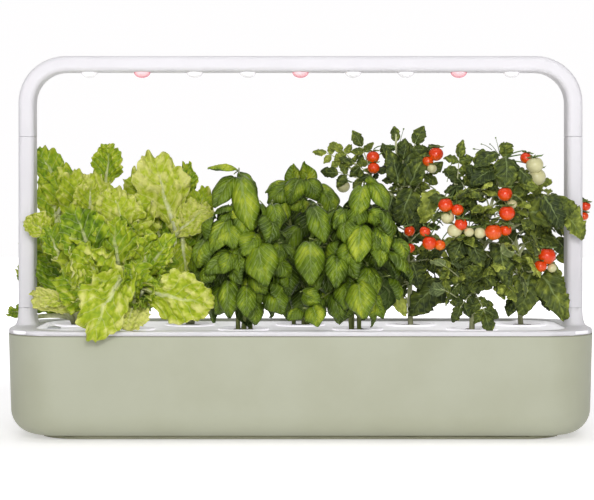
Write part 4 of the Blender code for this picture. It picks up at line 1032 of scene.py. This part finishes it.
BASIL_LEAVES = {
    4: (
        ((234, 174, -40), (213, 208, -52), 25, 15, 5, 0.42),
        ((239, 168, -36), (207, 166, -50), 20, 78, 3, 0.8),
        ((239, 170, -30), (259, 197, -28), 24, -40, 5, 0.3),
        ((239, 173, -44), (252, 232, -66), 29, 5, 8, 0.6),
        ((273, 201, -40), (279, 231, -52), 24, -10, 5, 0.5),
        ((228, 216, -52), (210, 254, -60), 27, 15, 6, 0.5),
        ((240, 205, -40), (212, 214, -52), 20, 60, 4, 0.35),
        ((236, 208, -44), (216, 223, -50), 17, 45, 4, 0.4),
        ((233, 207, -48), (240, 222, -58), 13, 0, 2, 0.85),
        ((257, 238, -60), (266, 288, -84), 37, 8, 9, 0.52),
        ((262, 240, -56), (247, 262, -62), 28, -30, 5, 0.4),
        ((280, 240, -40), (276, 267, -52), 24, -20, 5, 0.35),
        ((236, 250, -50), (204, 275, -62), 23, 20, 6, 0.45),
        ((232, 250, -60), (222, 275, -70), 20, -20, 5, 0.55),
        ((228, 276, -56), (229, 320, -70), 25, 12, 7, 0.4),
        ((247, 284, -62), (246, 318, -80), 23, -5, 6, 0.45),
        ((268, 287, -50), (284, 315, -66), 28, -15, 6, 0.35),
        ((205, 268, -30), (192, 284, -38), 22, 0, 4, 0.12),
        ((255, 213, -30), (263, 245, -36), 30, 10, 5, 0.15),
        ((240, 232, -30), (231, 262, -40), 30, 0, 5, 0.12),
        ((262, 260, -36), (256, 300, -44), 32, 0, 6, 0.12),
        ((225, 248, -30), (216, 290, -36), 30, 0, 6, 0.1),
        ((238, 288, -36), (262, 316, -44), 26, 0, 4, 0.15),
        ((282, 262, -34), (290, 298, -42), 30, 0, 5, 0.12),
        ((262, 204, -28), (268, 236, -34), 28, 0, 5, 0.18),
        ((222, 284, -34), (214, 312, -40), 24, 0, 5, 0.15),
    ),
    5: (
        ((291, 181, 20), (264, 192, 8), 22, 40, 5, 0.5),
        ((304, 190, 24), (295, 165, 20), 22, 30, -6, 0.6),
        ((303, 190, 22), (303, 164, 16), 22, -30, -6, 0.66),
        ((308, 184, 20), (339, 206, 8), 27, -15, 8, 0.55),
        ((307, 195, 12), (283, 209, 8), 24, 20, 5, 0.5),
        ((290, 183, 8), (266, 204, 2), 28, 20, 5, 0.38),
        ((284, 196, 6), (273, 230, 0), 27, 0, 5, 0.5),
        ((307, 176, 4), (319, 202, -2), 26, -10, 5, 0.4),
        ((324, 188, 8), (335, 216, 2), 26, -10, 5, 0.45),
        ((299, 176, 2), (288, 206, -4), 26, 10, 5, 0.45),
        ((300, 196, 10), (305, 214, 8), 20, 0, 4, 0.62),
        ((299, 224, 8), (279, 254, 6), 28, 10, 6, 0.45),
        ((286, 205, 16), (268, 214, 12), 22, 30, 4, 0.3),
        ((330, 205, 20), (345, 222, 14), 24, -20, 4, 0.3),
        ((300, 238, 12), (292, 270, 10), 30, 0, 5, 0.15),
        ((318, 240, 14), (322, 280, 12), 32, 0, 5, 0.12),
        ((305, 288, 14), (300, 318, 10), 28, 0, 5, 0.2),
        ((290, 260, 14), (284, 300, 12), 32, 0, 5, 0.1),
        ((335, 236, 16), (338, 276, 12), 30, 0, 5, 0.12),
        ((330, 278, 20), (336, 314, 18), 30, 0, 5, 0.1),
        ((312, 210, 26), (300, 240, 22), 30, 0, 5, 0.16),
        ((278, 220, 26), (282, 256, 22), 30, 0, 5, 0.14),
    ),
    6: (
        ((313, 204, -40), (326, 244, -54), 28, -10, 7, 0.45),
        ((346, 206, -36), (333, 230, -48), 21, 20, 5, 0.4),
        ((363, 182, -40), (356, 219, -56), 24, 5, 6, 0.62),
        ((364, 184, -34), (378, 182, -40), 16, 40, 3, 0.5),
        ((372, 180, -36), (388, 211, -50), 22, -10, 6, 0.5),
        ((309, 238, -56), (311, 286, -82), 33, -5, 9, 0.55),
        ((337, 252, -56), (336, 289, -76), 25, 0, 7, 0.45),
        ((361, 221, -54), (358, 264, -72), 28, 8, 7, 0.62),
        ((377, 224, -46), (389, 254, -58), 22, -12, 5, 0.5),
        ((367, 212, -44), (386, 222, -50), 20, 40, 4, 0.45),
        ((372, 208, -44), (377, 228, -50), 18, 0, 4, 0.5),
        ((300, 292, -60), (322, 302, -72), 22, 25, 5, 0.45),
        ((303, 308, -62), (286, 320, -74), 21, 30, 5, 0.4),
        ((312, 303, -66), (318, 327, -84), 24, 0, 5, 0.6),
        ((357, 278, -66), (365, 321, -86), 34, 6, 9, 0.64),
        ((374, 300, -50), (384, 319, -62), 18, -20, 4, 0.5),
        ((334, 290, -44), (341, 324, -54), 24, 10, 5, 0.18),
        ((340, 225, -30), (346, 254, -36), 28, 0, 5, 0.15),
        ((325, 260, -34), (330, 298, -40), 30, 0, 5, 0.12),
        ((352, 248, -30), (366, 282, -36), 30, 0, 5, 0.14),
        ((345, 262, -40), (352, 302, -46), 30, 0, 5, 0.12),
        ((372, 240, -30), (378, 272, -36), 26, 0, 4, 0.15),
        ((375, 272, -36), (366, 302, -44), 26, 0, 4, 0.15),
        ((330, 210, -30), (320, 234, -32), 24, 0, 4, 0.3),
        ((318, 290, -44), (310, 316, -50), 26, 0, 4, 0.2),
    ),
}
# Each stem: where the view shows its top, and its depth there.
BASIL_STEMS = {
    4: ((239, 172, -36), (272, 202, -40), (228, 218, -44), (258, 240, -48)),
    5: ((303, 188, 26), (288, 200, 30), (325, 215, 28)),
    6: ((364, 184, -34), (322, 206, -34), (376, 212, -36), (338, 250, -44)),
}

basil_leaf = leaf_material(
    "basil_leaf", BASIL_STOPS, BASIL_VEIN, count=BASIL_VEINS, slant=BASIL_SLANT, rib=0.03, rib_share=0.4,
    vein_share=0.42, crinkle=150, relief=0.9 * MM, gloss=0.58,
)
basil_underside = leaf_material(
    "basil_underside", BASIL_UNDER_STOPS, BASIL_VEIN, count=BASIL_VEINS, slant=BASIL_SLANT, rib=0.05,
    rib_share=0.8, vein_share=0.5, crinkle=150, relief=0.8 * MM, gloss=0.4,
)
basil_stem = stalk_material("basil_stem", BASIL_STEM_DARK, BASIL_STEM_PALE)


def stem_path(start, end, rng, wander, steps=STEM_STEPS):
    """A stem that leaves its start upwards and wanders a little on its way."""
    rise = (end.z - start.z) * 0.5
    path = interpolate_bezier(start, start + UP * rise, end - UP * rise * 0.6, end, steps)
    for i in range(1, steps - 1):
        path[i] = path[i] + Vector((rng.uniform(-1, 1), rng.uniform(-1, 1), 0)) * wander
    return path


def held_back(out):
    """The direction of a filling leaf, which keeps behind the listed leaves in front."""
    return Vector((out.x, out.y * FRONT_SHARE if out.y < 0 else out.y, out.z))


def nearest_start(stems, base, drop):
    """The point of the stems from which a leaf stalk reaches that base, a little below it."""
    aim = base - UP * drop
    return min((point for stem in stems for point in stem), key=lambda point: (point - aim).length)


def basil(pod):
    rng = random.Random(BASIL_SEED + pod)
    crown = crown_of(pod)
    leaves = new_leaves()
    stalks = bmesh.new()
    stems = []
    for i, top in enumerate(BASIL_STEMS[pod]):
        start = crown + Vector((rng.uniform(-8, 8), rng.uniform(-6, 6), 0)) * MM
        path = stem_path(start, spot(*top), rng, 1.2 * MM)
        stems.append(path)
        stalk(stalks, path, tapered(BASIL_STEM, BASIL_STEM * 0.5, len(path)), sides=8)

    def grow(base, tip, width, turn, bow, tone, face=FRONT):
        relief = basil_relief(rng, rng.uniform(0.7, 1.3))
        shape = dict(face=face, turn=turn, bow=bow, tone=tone)
        blade(leaves, base, tip, width, basil_outline, relief, BASIL_CUTS, **shape)
        start = nearest_start(stems, base, 8 * MM)
        stalk(stalks, arc_to(start, base, 3 * MM), tapered(0.9 * MM, 0.6 * MM, STALK_STEPS), sides=5)

    for (*base, base_depth), (*tip, tip_depth), width, turn, bow, tone in BASIL_LEAVES[pod]:
        ahead = BASIL_AHEAD if crown.y < 0 else 0
        start, end = spot(*base, base_depth - ahead), spot(*tip, tip_depth - ahead)
        grow(start, end, width * MM, turn, bow * MM, tone)
    node = f"basil_{pod - 3}"
    for share, count in BASIL_FILL:
        for out, middle, reach in shell(node, count, 0.9):
            size = rng.uniform(30, 40) * MM
            base = middle + reach * held_back(out) * share + UP * size * 0.5
            around = Vector((-out.y, out.x, 0)) * rng.uniform(-0.6, 0.6)
            way = Vector((out.x, out.y, 0)) * 0.35 + around - UP * rng.uniform(0.5, 1)
            tip = base + way.normalized() * size
            face = (out + UP * 0.5).normalized()
            width = size * rng.uniform(0.72, 0.85)
            grow(base, tip, width, rng.uniform(-20, 20), size * 0.2, rng.uniform(0.25, 0.55), face)
    finishes = (basil_leaf, basil_underside)
    made = finish_piece(f"{node}_leaves", leaves, finishes, f"pod_{pod}", BASIL_THICKNESS)
    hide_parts(node)
    finish_piece(f"{node}_stems", stalks, (basil_stem,), f"pod_{pod}")


for pod in (4, 5, 6):
    basil(pod)

# Tomatoes
# Three dwarf tomato plants grow in the right pods. Thick pale stems carry dark, saw-edged leaves in feathers
# of seven leaflets, and trusses of small fruit that ripen from cream through orange to red.
TOMATO_THICKNESS = 0.35 * MM
TOMATO_SEED = 73
TOMATO_STOPS = (
    (0.0, (0.026, 0.042, 0.008)), (0.3, (0.088, 0.12, 0.016)),
    (0.6, (0.24, 0.29, 0.035)), (1.0, (0.56, 0.62, 0.11)),
)
TOMATO_UNDER_STOPS = (
    (0.0, (0.05, 0.075, 0.03)), (0.4, (0.13, 0.17, 0.06)),
    (0.8, (0.28, 0.34, 0.13)), (1.0, (0.45, 0.52, 0.22)),
)
TOMATO_VEIN = (0.34, 0.44, 0.16, 1)
TOMATO_STEM_DARK = (0.46, 0.5, 0.22, 1)
TOMATO_STEM_PALE = (0.68, 0.7, 0.42, 1)
TRUSS_DARK = (0.12, 0.2, 0.04, 1)
TRUSS_PALE = (0.22, 0.3, 0.08, 1)
TOMATO_STEM = 3 * MM
TOMATO_STEM_STEPS = 13
TOMATO_CUTS = (8, 20)
LEAFLET_CUTS = (6, 10)
FEATHER_LENGTH = 26 * MM  # of the shortest filling leaf
LEAFLET_PAIRS = ((5, 1.0), (3, 0.85), (2, 0.5))  # the point of the stalk that bears each pair, and its size
TOMATO_FILL = ((0.9, 26), (0.5, 6))  # shares of the plant's room, and the feathered leaves at each
TOMATO_FILL_FLOOR = -0.6  # no filling leaf points further down than this
FRUIT_AHEAD = 12  # mm that the fruit stands further forward than listed
FRUIT_STOPS = (
    (0.15, (0.66, 0.63, 0.34)), (0.5, (0.86, 0.28, 0.02)),
    (0.78, (0.84, 0.11, 0.002)), (1.0, (0.78, 0.045, 0.001)),
)
FRUIT_SHINE = 0.55
LATE_RIPENING = 0.25  # how much paler than its top a fruit is below
SEPAL_SHARES = ((0, 0), (0.4, 0.18), (0.9, 0.16), (1.15, 0.3))  # of the radius, outwards and up
SEPAL_RADII = (0.5 * MM, 1 * MM, 0.8 * MM, 0.1 * MM)
SPRIG_SHARES = (0, 0.3, 0.6, 0.88, 0.95, 1)
SPRIG_RADII = (0.4 * MM, 0.35 * MM, 0.3 * MM, 0.3 * MM, 1 * MM, 0.3 * MM)


def tomato_outline(t):
    lobe = (t * 3 + 0.35) % 1
    tooth = (t * 9) % 1
    edge = 0.8 + 0.22 * (1 - lobe) + 0.09 * (1 - tooth)
    return (1.12 - 0.42 * t) * (1 - 0.3 * smooth_step(0.7, 1, t)) * edge


def tomato_relief(rng):
    """The swell of one tomato leaflet: folded along its rib, puckered, and curled at its edge. Its shade
    paints light on the puffs and shade in the creases, and is a little paler at the edge.
    """
    seed = random_place(rng, axes=2)
    fold = rng.uniform(-0.2, 0.22)
    curl = rng.uniform(0, 0.3)
    droop = rng.uniform(0, 0.2)

    def relief(a, b):
        r = min(1, math.hypot(a, b))
        puff = puckers(seed + Vector((a, b, 0)), 2.8)
        swell = fold * abs(a) - curl * a * a - droop * max(0, b) ** 2 + 0.18 * (puff - 0.3)
        swell += 0.14 * r**3 * noise.noise(seed + Vector((a, b, 0)) * 3)
        return swell, 0.08 * math.sin(4 * b + seed.x), 0, 0.8 * (puff - 0.3) + 0.1 * r**5

    return relief


TOMATO_LEAVES = {
    7: (
        ((436, 190, 8), (421, 225, 6), 25, 10, 5, 0.62),
        ((388, 284, 18), (407, 317, 10), 20, -12, 5, 0.85),
        ((444, 280, 14), (407, 316, 8), 38, 12, 7, 0.08),
        ((404, 186, 16), (411, 142, 20), 34, 0, 5, 0.1),
        ((398, 184, 12), (388, 146, 10), 24, 20, 5, 0.14),
        ((410, 186, 10), (428, 152, 8), 26, -20, 5, 0.2),
        ((404, 262, 14), (376, 284, 8), 32, 0, 5, 0.06),
        ((398, 266, 16), (386, 296, 12), 24, 10, 5, 0.12),
        ((412, 262, 6), (420, 290, 0), 26, 0, 5, 0.16),
        ((392, 196, 14), (384, 226, 8), 26, 0, 5, 0.12),
        ((412, 190, 16), (398, 226, 12), 30, 0, 6, 0.12),
        ((404, 206, 16), (420, 232, 12), 26, 0, 5, 0.1),
    ),
    8: (
        ((500, 244, -56), (504, 281, -66), 26, 0, 6, 0.08),
        ((529, 216, -30), (577, 204, -33), 44, -20, 7, 0.3),
        ((545, 197, -46), (562, 230, -52), 27, 0, 6, 0.04),
        ((562, 212, -26), (585, 241, -30), 24, -10, 5, 0.42),
        ((560, 204, -25), (583, 222, -27), 24, 20, 4, 0.35),
        ((541, 274, -34), (566, 322, -48), 33, -8, 8, 0.32),
        ((531, 272, -30), (521, 317, -40), 34, 10, 8, 0.24),
        ((545, 271, -26), (562, 292, -28), 22, -30, 4, 0.2),
        ((514, 296, -20), (508, 317, -26), 16, 0, 4, 0.1),
        ((506, 157, -46), (506, 190, -60), 30, 0, 6, 0.2),
        ((498, 153, -44), (473, 168, -52), 20, 30, 5, 0.12),
        ((494, 170, -46), (470, 186, -54), 26, 20, 5, 0.02),
        ((462, 238, -48), (452, 264, -58), 24, 0, 4, 0.12),
        ((470, 240, -50), (483, 268, -62), 22, 0, 4, 0.14),
        ((476, 262, -50), (470, 292, -60), 20, 0, 4, 0.1),
        ((506, 157, -20), (505, 141, -18), 17, 0, 3, 0.35),
        ((512, 166, -44), (535, 185, -58), 19, -20, 4, 0.22),
        ((520, 182, -50), (539, 188, -56), 13, 30, 3, 0.5),
    ),
    9: (
        ((560, 205, 26), (588, 200, 30), 20, 0, 4, 0.3),
        ((556, 238, 24), (574, 262, 26), 22, 0, 4, 0.18),
    ),
}
# Each feathered leaf: where its stalk starts and where its last leaflet ends; the length of that leaflet in
# mm and its tone.
TOMATO_FEATHERS = {
    7: (
        ((352, 178, 40), (318, 150, 46), 15, 0.6),
        ((366, 172, 34), (336, 145, 38), 15, 0.5),
        ((378, 170, 30), (358, 138, 32), 18, 0.36),
        ((386, 186, 26), (324, 170, 40), 18, 0.2),
        ((386, 180, 30), (346, 158, 36), 18, 0.16),
        ((398, 180, 20), (395, 130, 22), 15, 0.26),
        ((400, 190, 18), (419, 134, 18), 20, 0.18),
        ((402, 200, 16), (386, 152, 14), 20, 0.14),
        ((410, 200, 14), (434, 166, 12), 18, 0.26),
        ((408, 196, 12), (404, 150, 12), 22, 0.12),
        ((405, 215, 14), (378, 206, 12), 22, 0.1),
        ((410, 228, 12), (392, 262, 10), 22, 0.12),
        ((412, 260, 22), (380, 290, 14), 22, 0.08),
        ((414, 268, 20), (442, 262, 14), 20, 0.16),
        ((412, 250, 24), (398, 246, 20), 20, 0.14),
        ((414, 280, 24), (388, 300, 16), 18, 0.18),
        ((406, 186, 20), (430, 150, 26), 20, 0.16),
    ),
    8: (
        ((462, 240, -40), (470, 270, -60), 20, 0.24),
        ((450, 185, -24), (460, 152, -30), 18, 0.26),
        ((468, 200, -30), (479, 158, -36), 18, 0.32),
        ((470, 235, -36), (474, 204, -46), 17, 0.14),
        ((452, 250, -36), (446, 272, -46), 19, 0.28),
        ((474, 288, -40), (489, 324, -54), 20, 0.26),
        ((472, 284, -40), (456, 315, -50), 18, 0.1),
        ((480, 250, -44), (506, 276, -58), 22, 0.1),
        ((490, 202, -36), (476, 176, -44), 22, 0.1),
        ((476, 262, -44), (502, 292, -54), 19, 0.3),
        ((470, 225, -30), (438, 196, -26), 20, 0.2),
        ((466, 214, -28), (458, 178, -26), 22, 0.16),
        ((500, 205, -30), (518, 190, -34), 18, 0.3),
        ((476, 270, -38), (452, 290, -44), 19, 0.2),
        ((488, 250, -34), (478, 286, -42), 19, 0.16),
    ),
    9: (
        ((515, 222, 24), (532, 198, 20), 18, 0.36),
        ((516, 202, 26), (542, 180, 24), 18, 0.42),
        ((518, 240, 24), (547, 238, 20), 20, 0.26),
        ((519, 256, 22), (497, 262, 16), 18, 0.2),
        ((519, 270, 22), (546, 302, 18), 20, 0.2),
        ((512, 192, 26), (492, 168, 24), 18, 0.36),
        ((520, 232, 20), (558, 216, 18), 20, 0.3),
        ((519, 262, 24), (530, 290, 18), 19, 0.22),
        ((517, 246, 20), (500, 232, 16), 18, 0.3),
        ((516, 214, 28), (526, 176, 30), 18, 0.3),
    ),
}
TOMATO_STEMS = {
    7: ((396, 134, 20), (345, 160, 44), (432, 168, 20)),
    8: ((498, 162, -24), (452, 176, -26), (540, 206, -28), (536, 268, -28)),
    9: ((508, 170, 26), (556, 214, 26)),
}
# Each fruit: where the view shows its middle, its radius in mm and its ripeness from 0, cream, to 1, red.
TOMATO_FRUIT = {
    7: (
        (373, 157, 22, 7.2, 1.0), (373.6, 168, 20, 6.6, 1.0), (436, 154, 8, 8.0, 1.0),
        (428, 161, 10, 6.0, 0.9), (432, 168.5, 8, 5.4, 0.1), (343, 186, 56, 7.8, 0.1),
        (409.5, 231, -6, 6.0, 1.0), (410, 248, -6, 5.4, 1.0),
    ),
    8: (
        (425, 231.5, -60, 5.8, 1.0), (429.5, 243, -62, 7.6, 1.0), (440, 245, -60, 5.8, 0.8),
        (445.5, 205, -58, 7.8, 1.0), (457.5, 210, -60, 6.4, 1.0), (461, 224, -64, 6.8, 1.0),
        (447.6, 217.5, -56, 7.2, 0.1), (454.6, 230.6, -60, 7.8, 0.05), (469, 232, -62, 5.3, 0.15),
        (480, 233, -60, 6.2, 0.1), (505, 194, -56, 7.8, 1.0), (507, 213, -60, 8.4, 1.0),
        (512, 204, -52, 5.4, 0.2), (493.5, 232, -62, 9.0, 0.88), (505.6, 230, -58, 6.4, 0.95),
        (547, 256, -40, 9.4, 1.0), (540.5, 266, -42, 6.8, 0.95), (552, 268, -38, 5.0, 0.1),
        (526, 158, -24, 6.4, 1.0), (534.6, 165, -28, 9.4, 0.1), (536.7, 177, -22, 9.8, 0.0),
    ),
    9: ((585.6, 206, 26, 5.6, 1.0), (584, 216, 28, 5.0, 0.95)),
}
# Each flower sprig: where it starts and where its bud ends.
TOMATO_SPRIGS = {
    7: (((415, 140, 18), (426, 131, 18)), ((398, 150, 18), (404, 128, 18))),
    8: (
        ((500, 156, -22), (472.6, 148.8, -24)), ((492, 150, -23), (480.7, 144, -24)),
        ((498, 154, -23), (489.4, 143.6, -24)), ((500, 156, -22), (495.4, 137, -22)),
        ((447, 182, -28), (452, 163, -30)),
    ),
    9: (),
}

tomato_leaf = leaf_material(
    "tomato_leaf", TOMATO_STOPS, TOMATO_VEIN, count=6, slant=0.9, rib=0.03, rib_share=0.5, vein_share=0.2,
    crinkle=300, relief=0.8 * MM, gloss=0.4,
)
tomato_underside = leaf_material(
    "tomato_underside", TOMATO_UNDER_STOPS, TOMATO_VEIN, count=6, slant=0.9, rib=0.05, rib_share=0.8,
    vein_share=0.5, crinkle=300, relief=0.8 * MM, gloss=0.3,
)
tomato_stem = stalk_material("tomato_stem", TOMATO_STEM_DARK, TOMATO_STEM_PALE, gloss=0.35)
tomato_truss = stalk_material("tomato_truss", TRUSS_DARK, TRUSS_PALE, gloss=0.35)

fruit_skin, tree, shader = plain_material("tomato_skin")
place = piece_place(tree)
ripeness = add(tree, "ShaderNodeAttribute", attribute_name=TONE).outputs["Fac"]
clouds = calc(tree, "MULTIPLY_ADD", noise_at(tree, place, 70), 0.16, -0.08)
level = calc(tree, "ADD", ripeness, clouds)
pores = noise_at(tree, place, 900)
tree.links.new(colour_band(tree, level, FRUIT_STOPS), shader.inputs["Base Color"])
tree.links.new(calc(tree, "MULTIPLY_ADD", pores, 0.1, 0.17), shader.inputs["Roughness"])
shader.inputs["Specular IOR Level"].default_value = FRUIT_SHINE


def feather(leaves, stalks, start, end, length, tone, rng, face):
    """A leaf of one last leaflet and three pairs on a thin arched stalk."""
    run = end - start
    rising = start + run * 0.35 + UP * 4 * MM
    falling = start + run * 0.7 + UP * 5 * MM
    path = interpolate_bezier(start, rising, falling, end, 9)
    stalk(stalks, path[:8], tapered(1 * MM, 0.4 * MM, 8), sides=5)

    def grow(base, way, size):
        tip = base + way.normalized() * size
        width = size * rng.uniform(0.62, 0.78)
        relief = tomato_relief(rng)
        turn = rng.uniform(-35, 35)
        bow = size * rng.uniform(0.05, 0.16)
        shade = min(1, max(0, tone + rng.uniform(-0.08, 0.1)))
        shape = dict(face=face, turn=turn, bow=bow, tone=shade)
        blade(leaves, base, tip, width, tomato_outline, relief, LEAFLET_CUTS, **shape)

    grow(path[6], path[8] - path[6] - UP * 2 * MM, length * 1.15)
    for i, share in LEAFLET_PAIRS:
        ahead = (path[i + 1] - path[i]).normalized()
        across = ahead.cross(face).normalized()
        for side in (-1, 1):
            way = ahead * 0.5 + across * side - UP * rng.uniform(0.1, 0.5)
            grow(path[i], way, length * share * rng.uniform(0.8, 1.05))


def fruit(fruits, stalks, centre, radius, ripeness, start, rng):
    """A round fruit that hangs by its green star from a bent stalk."""
    lean = Quaternion(Vector((rng.uniform(-1, 1), rng.uniform(-1, 1), 0)), rng.uniform(0, 0.5))
    made = bmesh.ops.create_uvsphere(fruits, u_segments=20, v_segments=12, radius=radius)["verts"]
    tones = fruits.verts.layers.float[TONE]
    for v in made:
        from_top = math.hypot(v.co.x, v.co.y) / radius
        if v.co.z > 0:
            v.co.z -= radius * 0.22 * math.exp(-((from_top / 0.32) ** 2))
        v.co.z *= 0.94
        v[tones] = ripeness - LATE_RIPENING * max(0, -v.co.z / radius)
    bmesh.ops.transform(fruits, matrix=Matrix.LocRotScale(centre, lean, None), verts=made)
    up = lean @ UP
    top = centre + up * radius * 0.8
    for i in range(5):
        out = Vector((math.cos(math.tau * i / 5), math.sin(math.tau * i / 5), 0))
        out.rotate(lean)
        sepal = [top + out * radius * outwards + up * radius * rise for outwards, rise in SEPAL_SHARES]
        stalk(stalks, sepal, SEPAL_RADII, sides=4)
    path = interpolate_bezier(start, start + UP * 4 * MM, top + up * 9 * MM, top, 8)
    stalk(stalks, path, tapered(0.9 * MM, 0.6 * MM, 8), sides=5)


def tomato(pod):
    rng = random.Random(TOMATO_SEED + pod)
    leaves = new_leaves()
    stalks = bmesh.new()
    trusses = bmesh.new()
    fruits = bmesh.new()
    fruits.verts.layers.float.new(TONE)
    main = stem_path(crown_of(pod), spot(*TOMATO_STEMS[pod][0]), rng, 1.6 * MM, steps=TOMATO_STEM_STEPS)
    stalk(stalks, main, tapered(TOMATO_STEM, TOMATO_STEM * 0.4, TOMATO_STEM_STEPS), sides=10)
    stems = [main]
    for top in TOMATO_STEMS[pod][1:]:
        end = spot(*top)
        start = min(main[2:9], key=lambda point: abs(point.z - end.z + 60 * MM))
        branch = stem_path(start, end, rng, 1 * MM)
        stems.append(branch)
        stalk(stalks, branch, tapered(TOMATO_STEM * 0.7, TOMATO_STEM * 0.35, len(branch)), sides=8)

    def grow(base, tip, width, turn, bow, tone):
        shape = dict(face=FRONT, turn=turn, bow=bow, tone=tone)
        blade(leaves, base, tip, width, tomato_outline, tomato_relief(rng), TOMATO_CUTS, **shape)
        start = nearest_start(stems, base, 6 * MM)
        stalk(stalks, arc_to(start, base, 2 * MM), tapered(1.1 * MM, 0.6 * MM, STALK_STEPS), sides=5)

    for base, tip, width, turn, bow, tone in TOMATO_LEAVES[pod]:
        grow(spot(*base), spot(*tip), width * MM, turn, bow * MM, tone)
    for start, end, length, tone in TOMATO_FEATHERS[pod]:
        root = nearest_start(stems, spot(*start), 4 * MM)
        feather(leaves, stalks, root, spot(*end), length * MM, tone, rng, FRONT)
    for start, end in TOMATO_SPRIGS[pod]:
        low, high = spot(*start), spot(*end)
        path = [low.lerp(high, share) + UP * 5 * MM * share * (1 - share) for share in SPRIG_SHARES]
        stalk(trusses, path, SPRIG_RADII)
    node = f"tomato_{pod - 6}"
    for share, count in TOMATO_FILL:
        for out, middle, reach in shell(node, count, 0.92):
            if out.z < TOMATO_FILL_FLOOR:
                continue
            end = middle + reach * held_back(out) * share
            root = nearest_start(stems, end, 18 * MM)
            end = root + (end - root).normalized() * max(FEATHER_LENGTH, (end - root).length)
            face = (out + UP * 0.7 + FRONT * 0.3).normalized()
            feather(leaves, stalks, root, end, rng.uniform(17, 22) * MM, rng.uniform(0.15, 0.8), rng, face)
    for across, down, depth, radius, ripeness in TOMATO_FRUIT[pod]:
        centre = spot(across, down, depth - FRUIT_AHEAD)
        fruit(fruits, trusses, centre, radius * MM, ripeness, nearest_start(stems, centre, -12 * MM), rng)
    body = f"pod_{pod}"
    finishes = (tomato_leaf, tomato_underside)
    made = finish_piece(f"{node}_leaves", leaves, finishes, body, TOMATO_THICKNESS)
    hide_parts(node)
    finish_piece(f"{node}_stems", stalks, (tomato_stem,), body)
    finish_piece(f"{node}_trusses", trusses, (tomato_truss,), body)
    finish_piece(f"{node}_fruit", fruits, (fruit_skin,), body)


for pod in (7, 8, 9):
    tomato(pod)
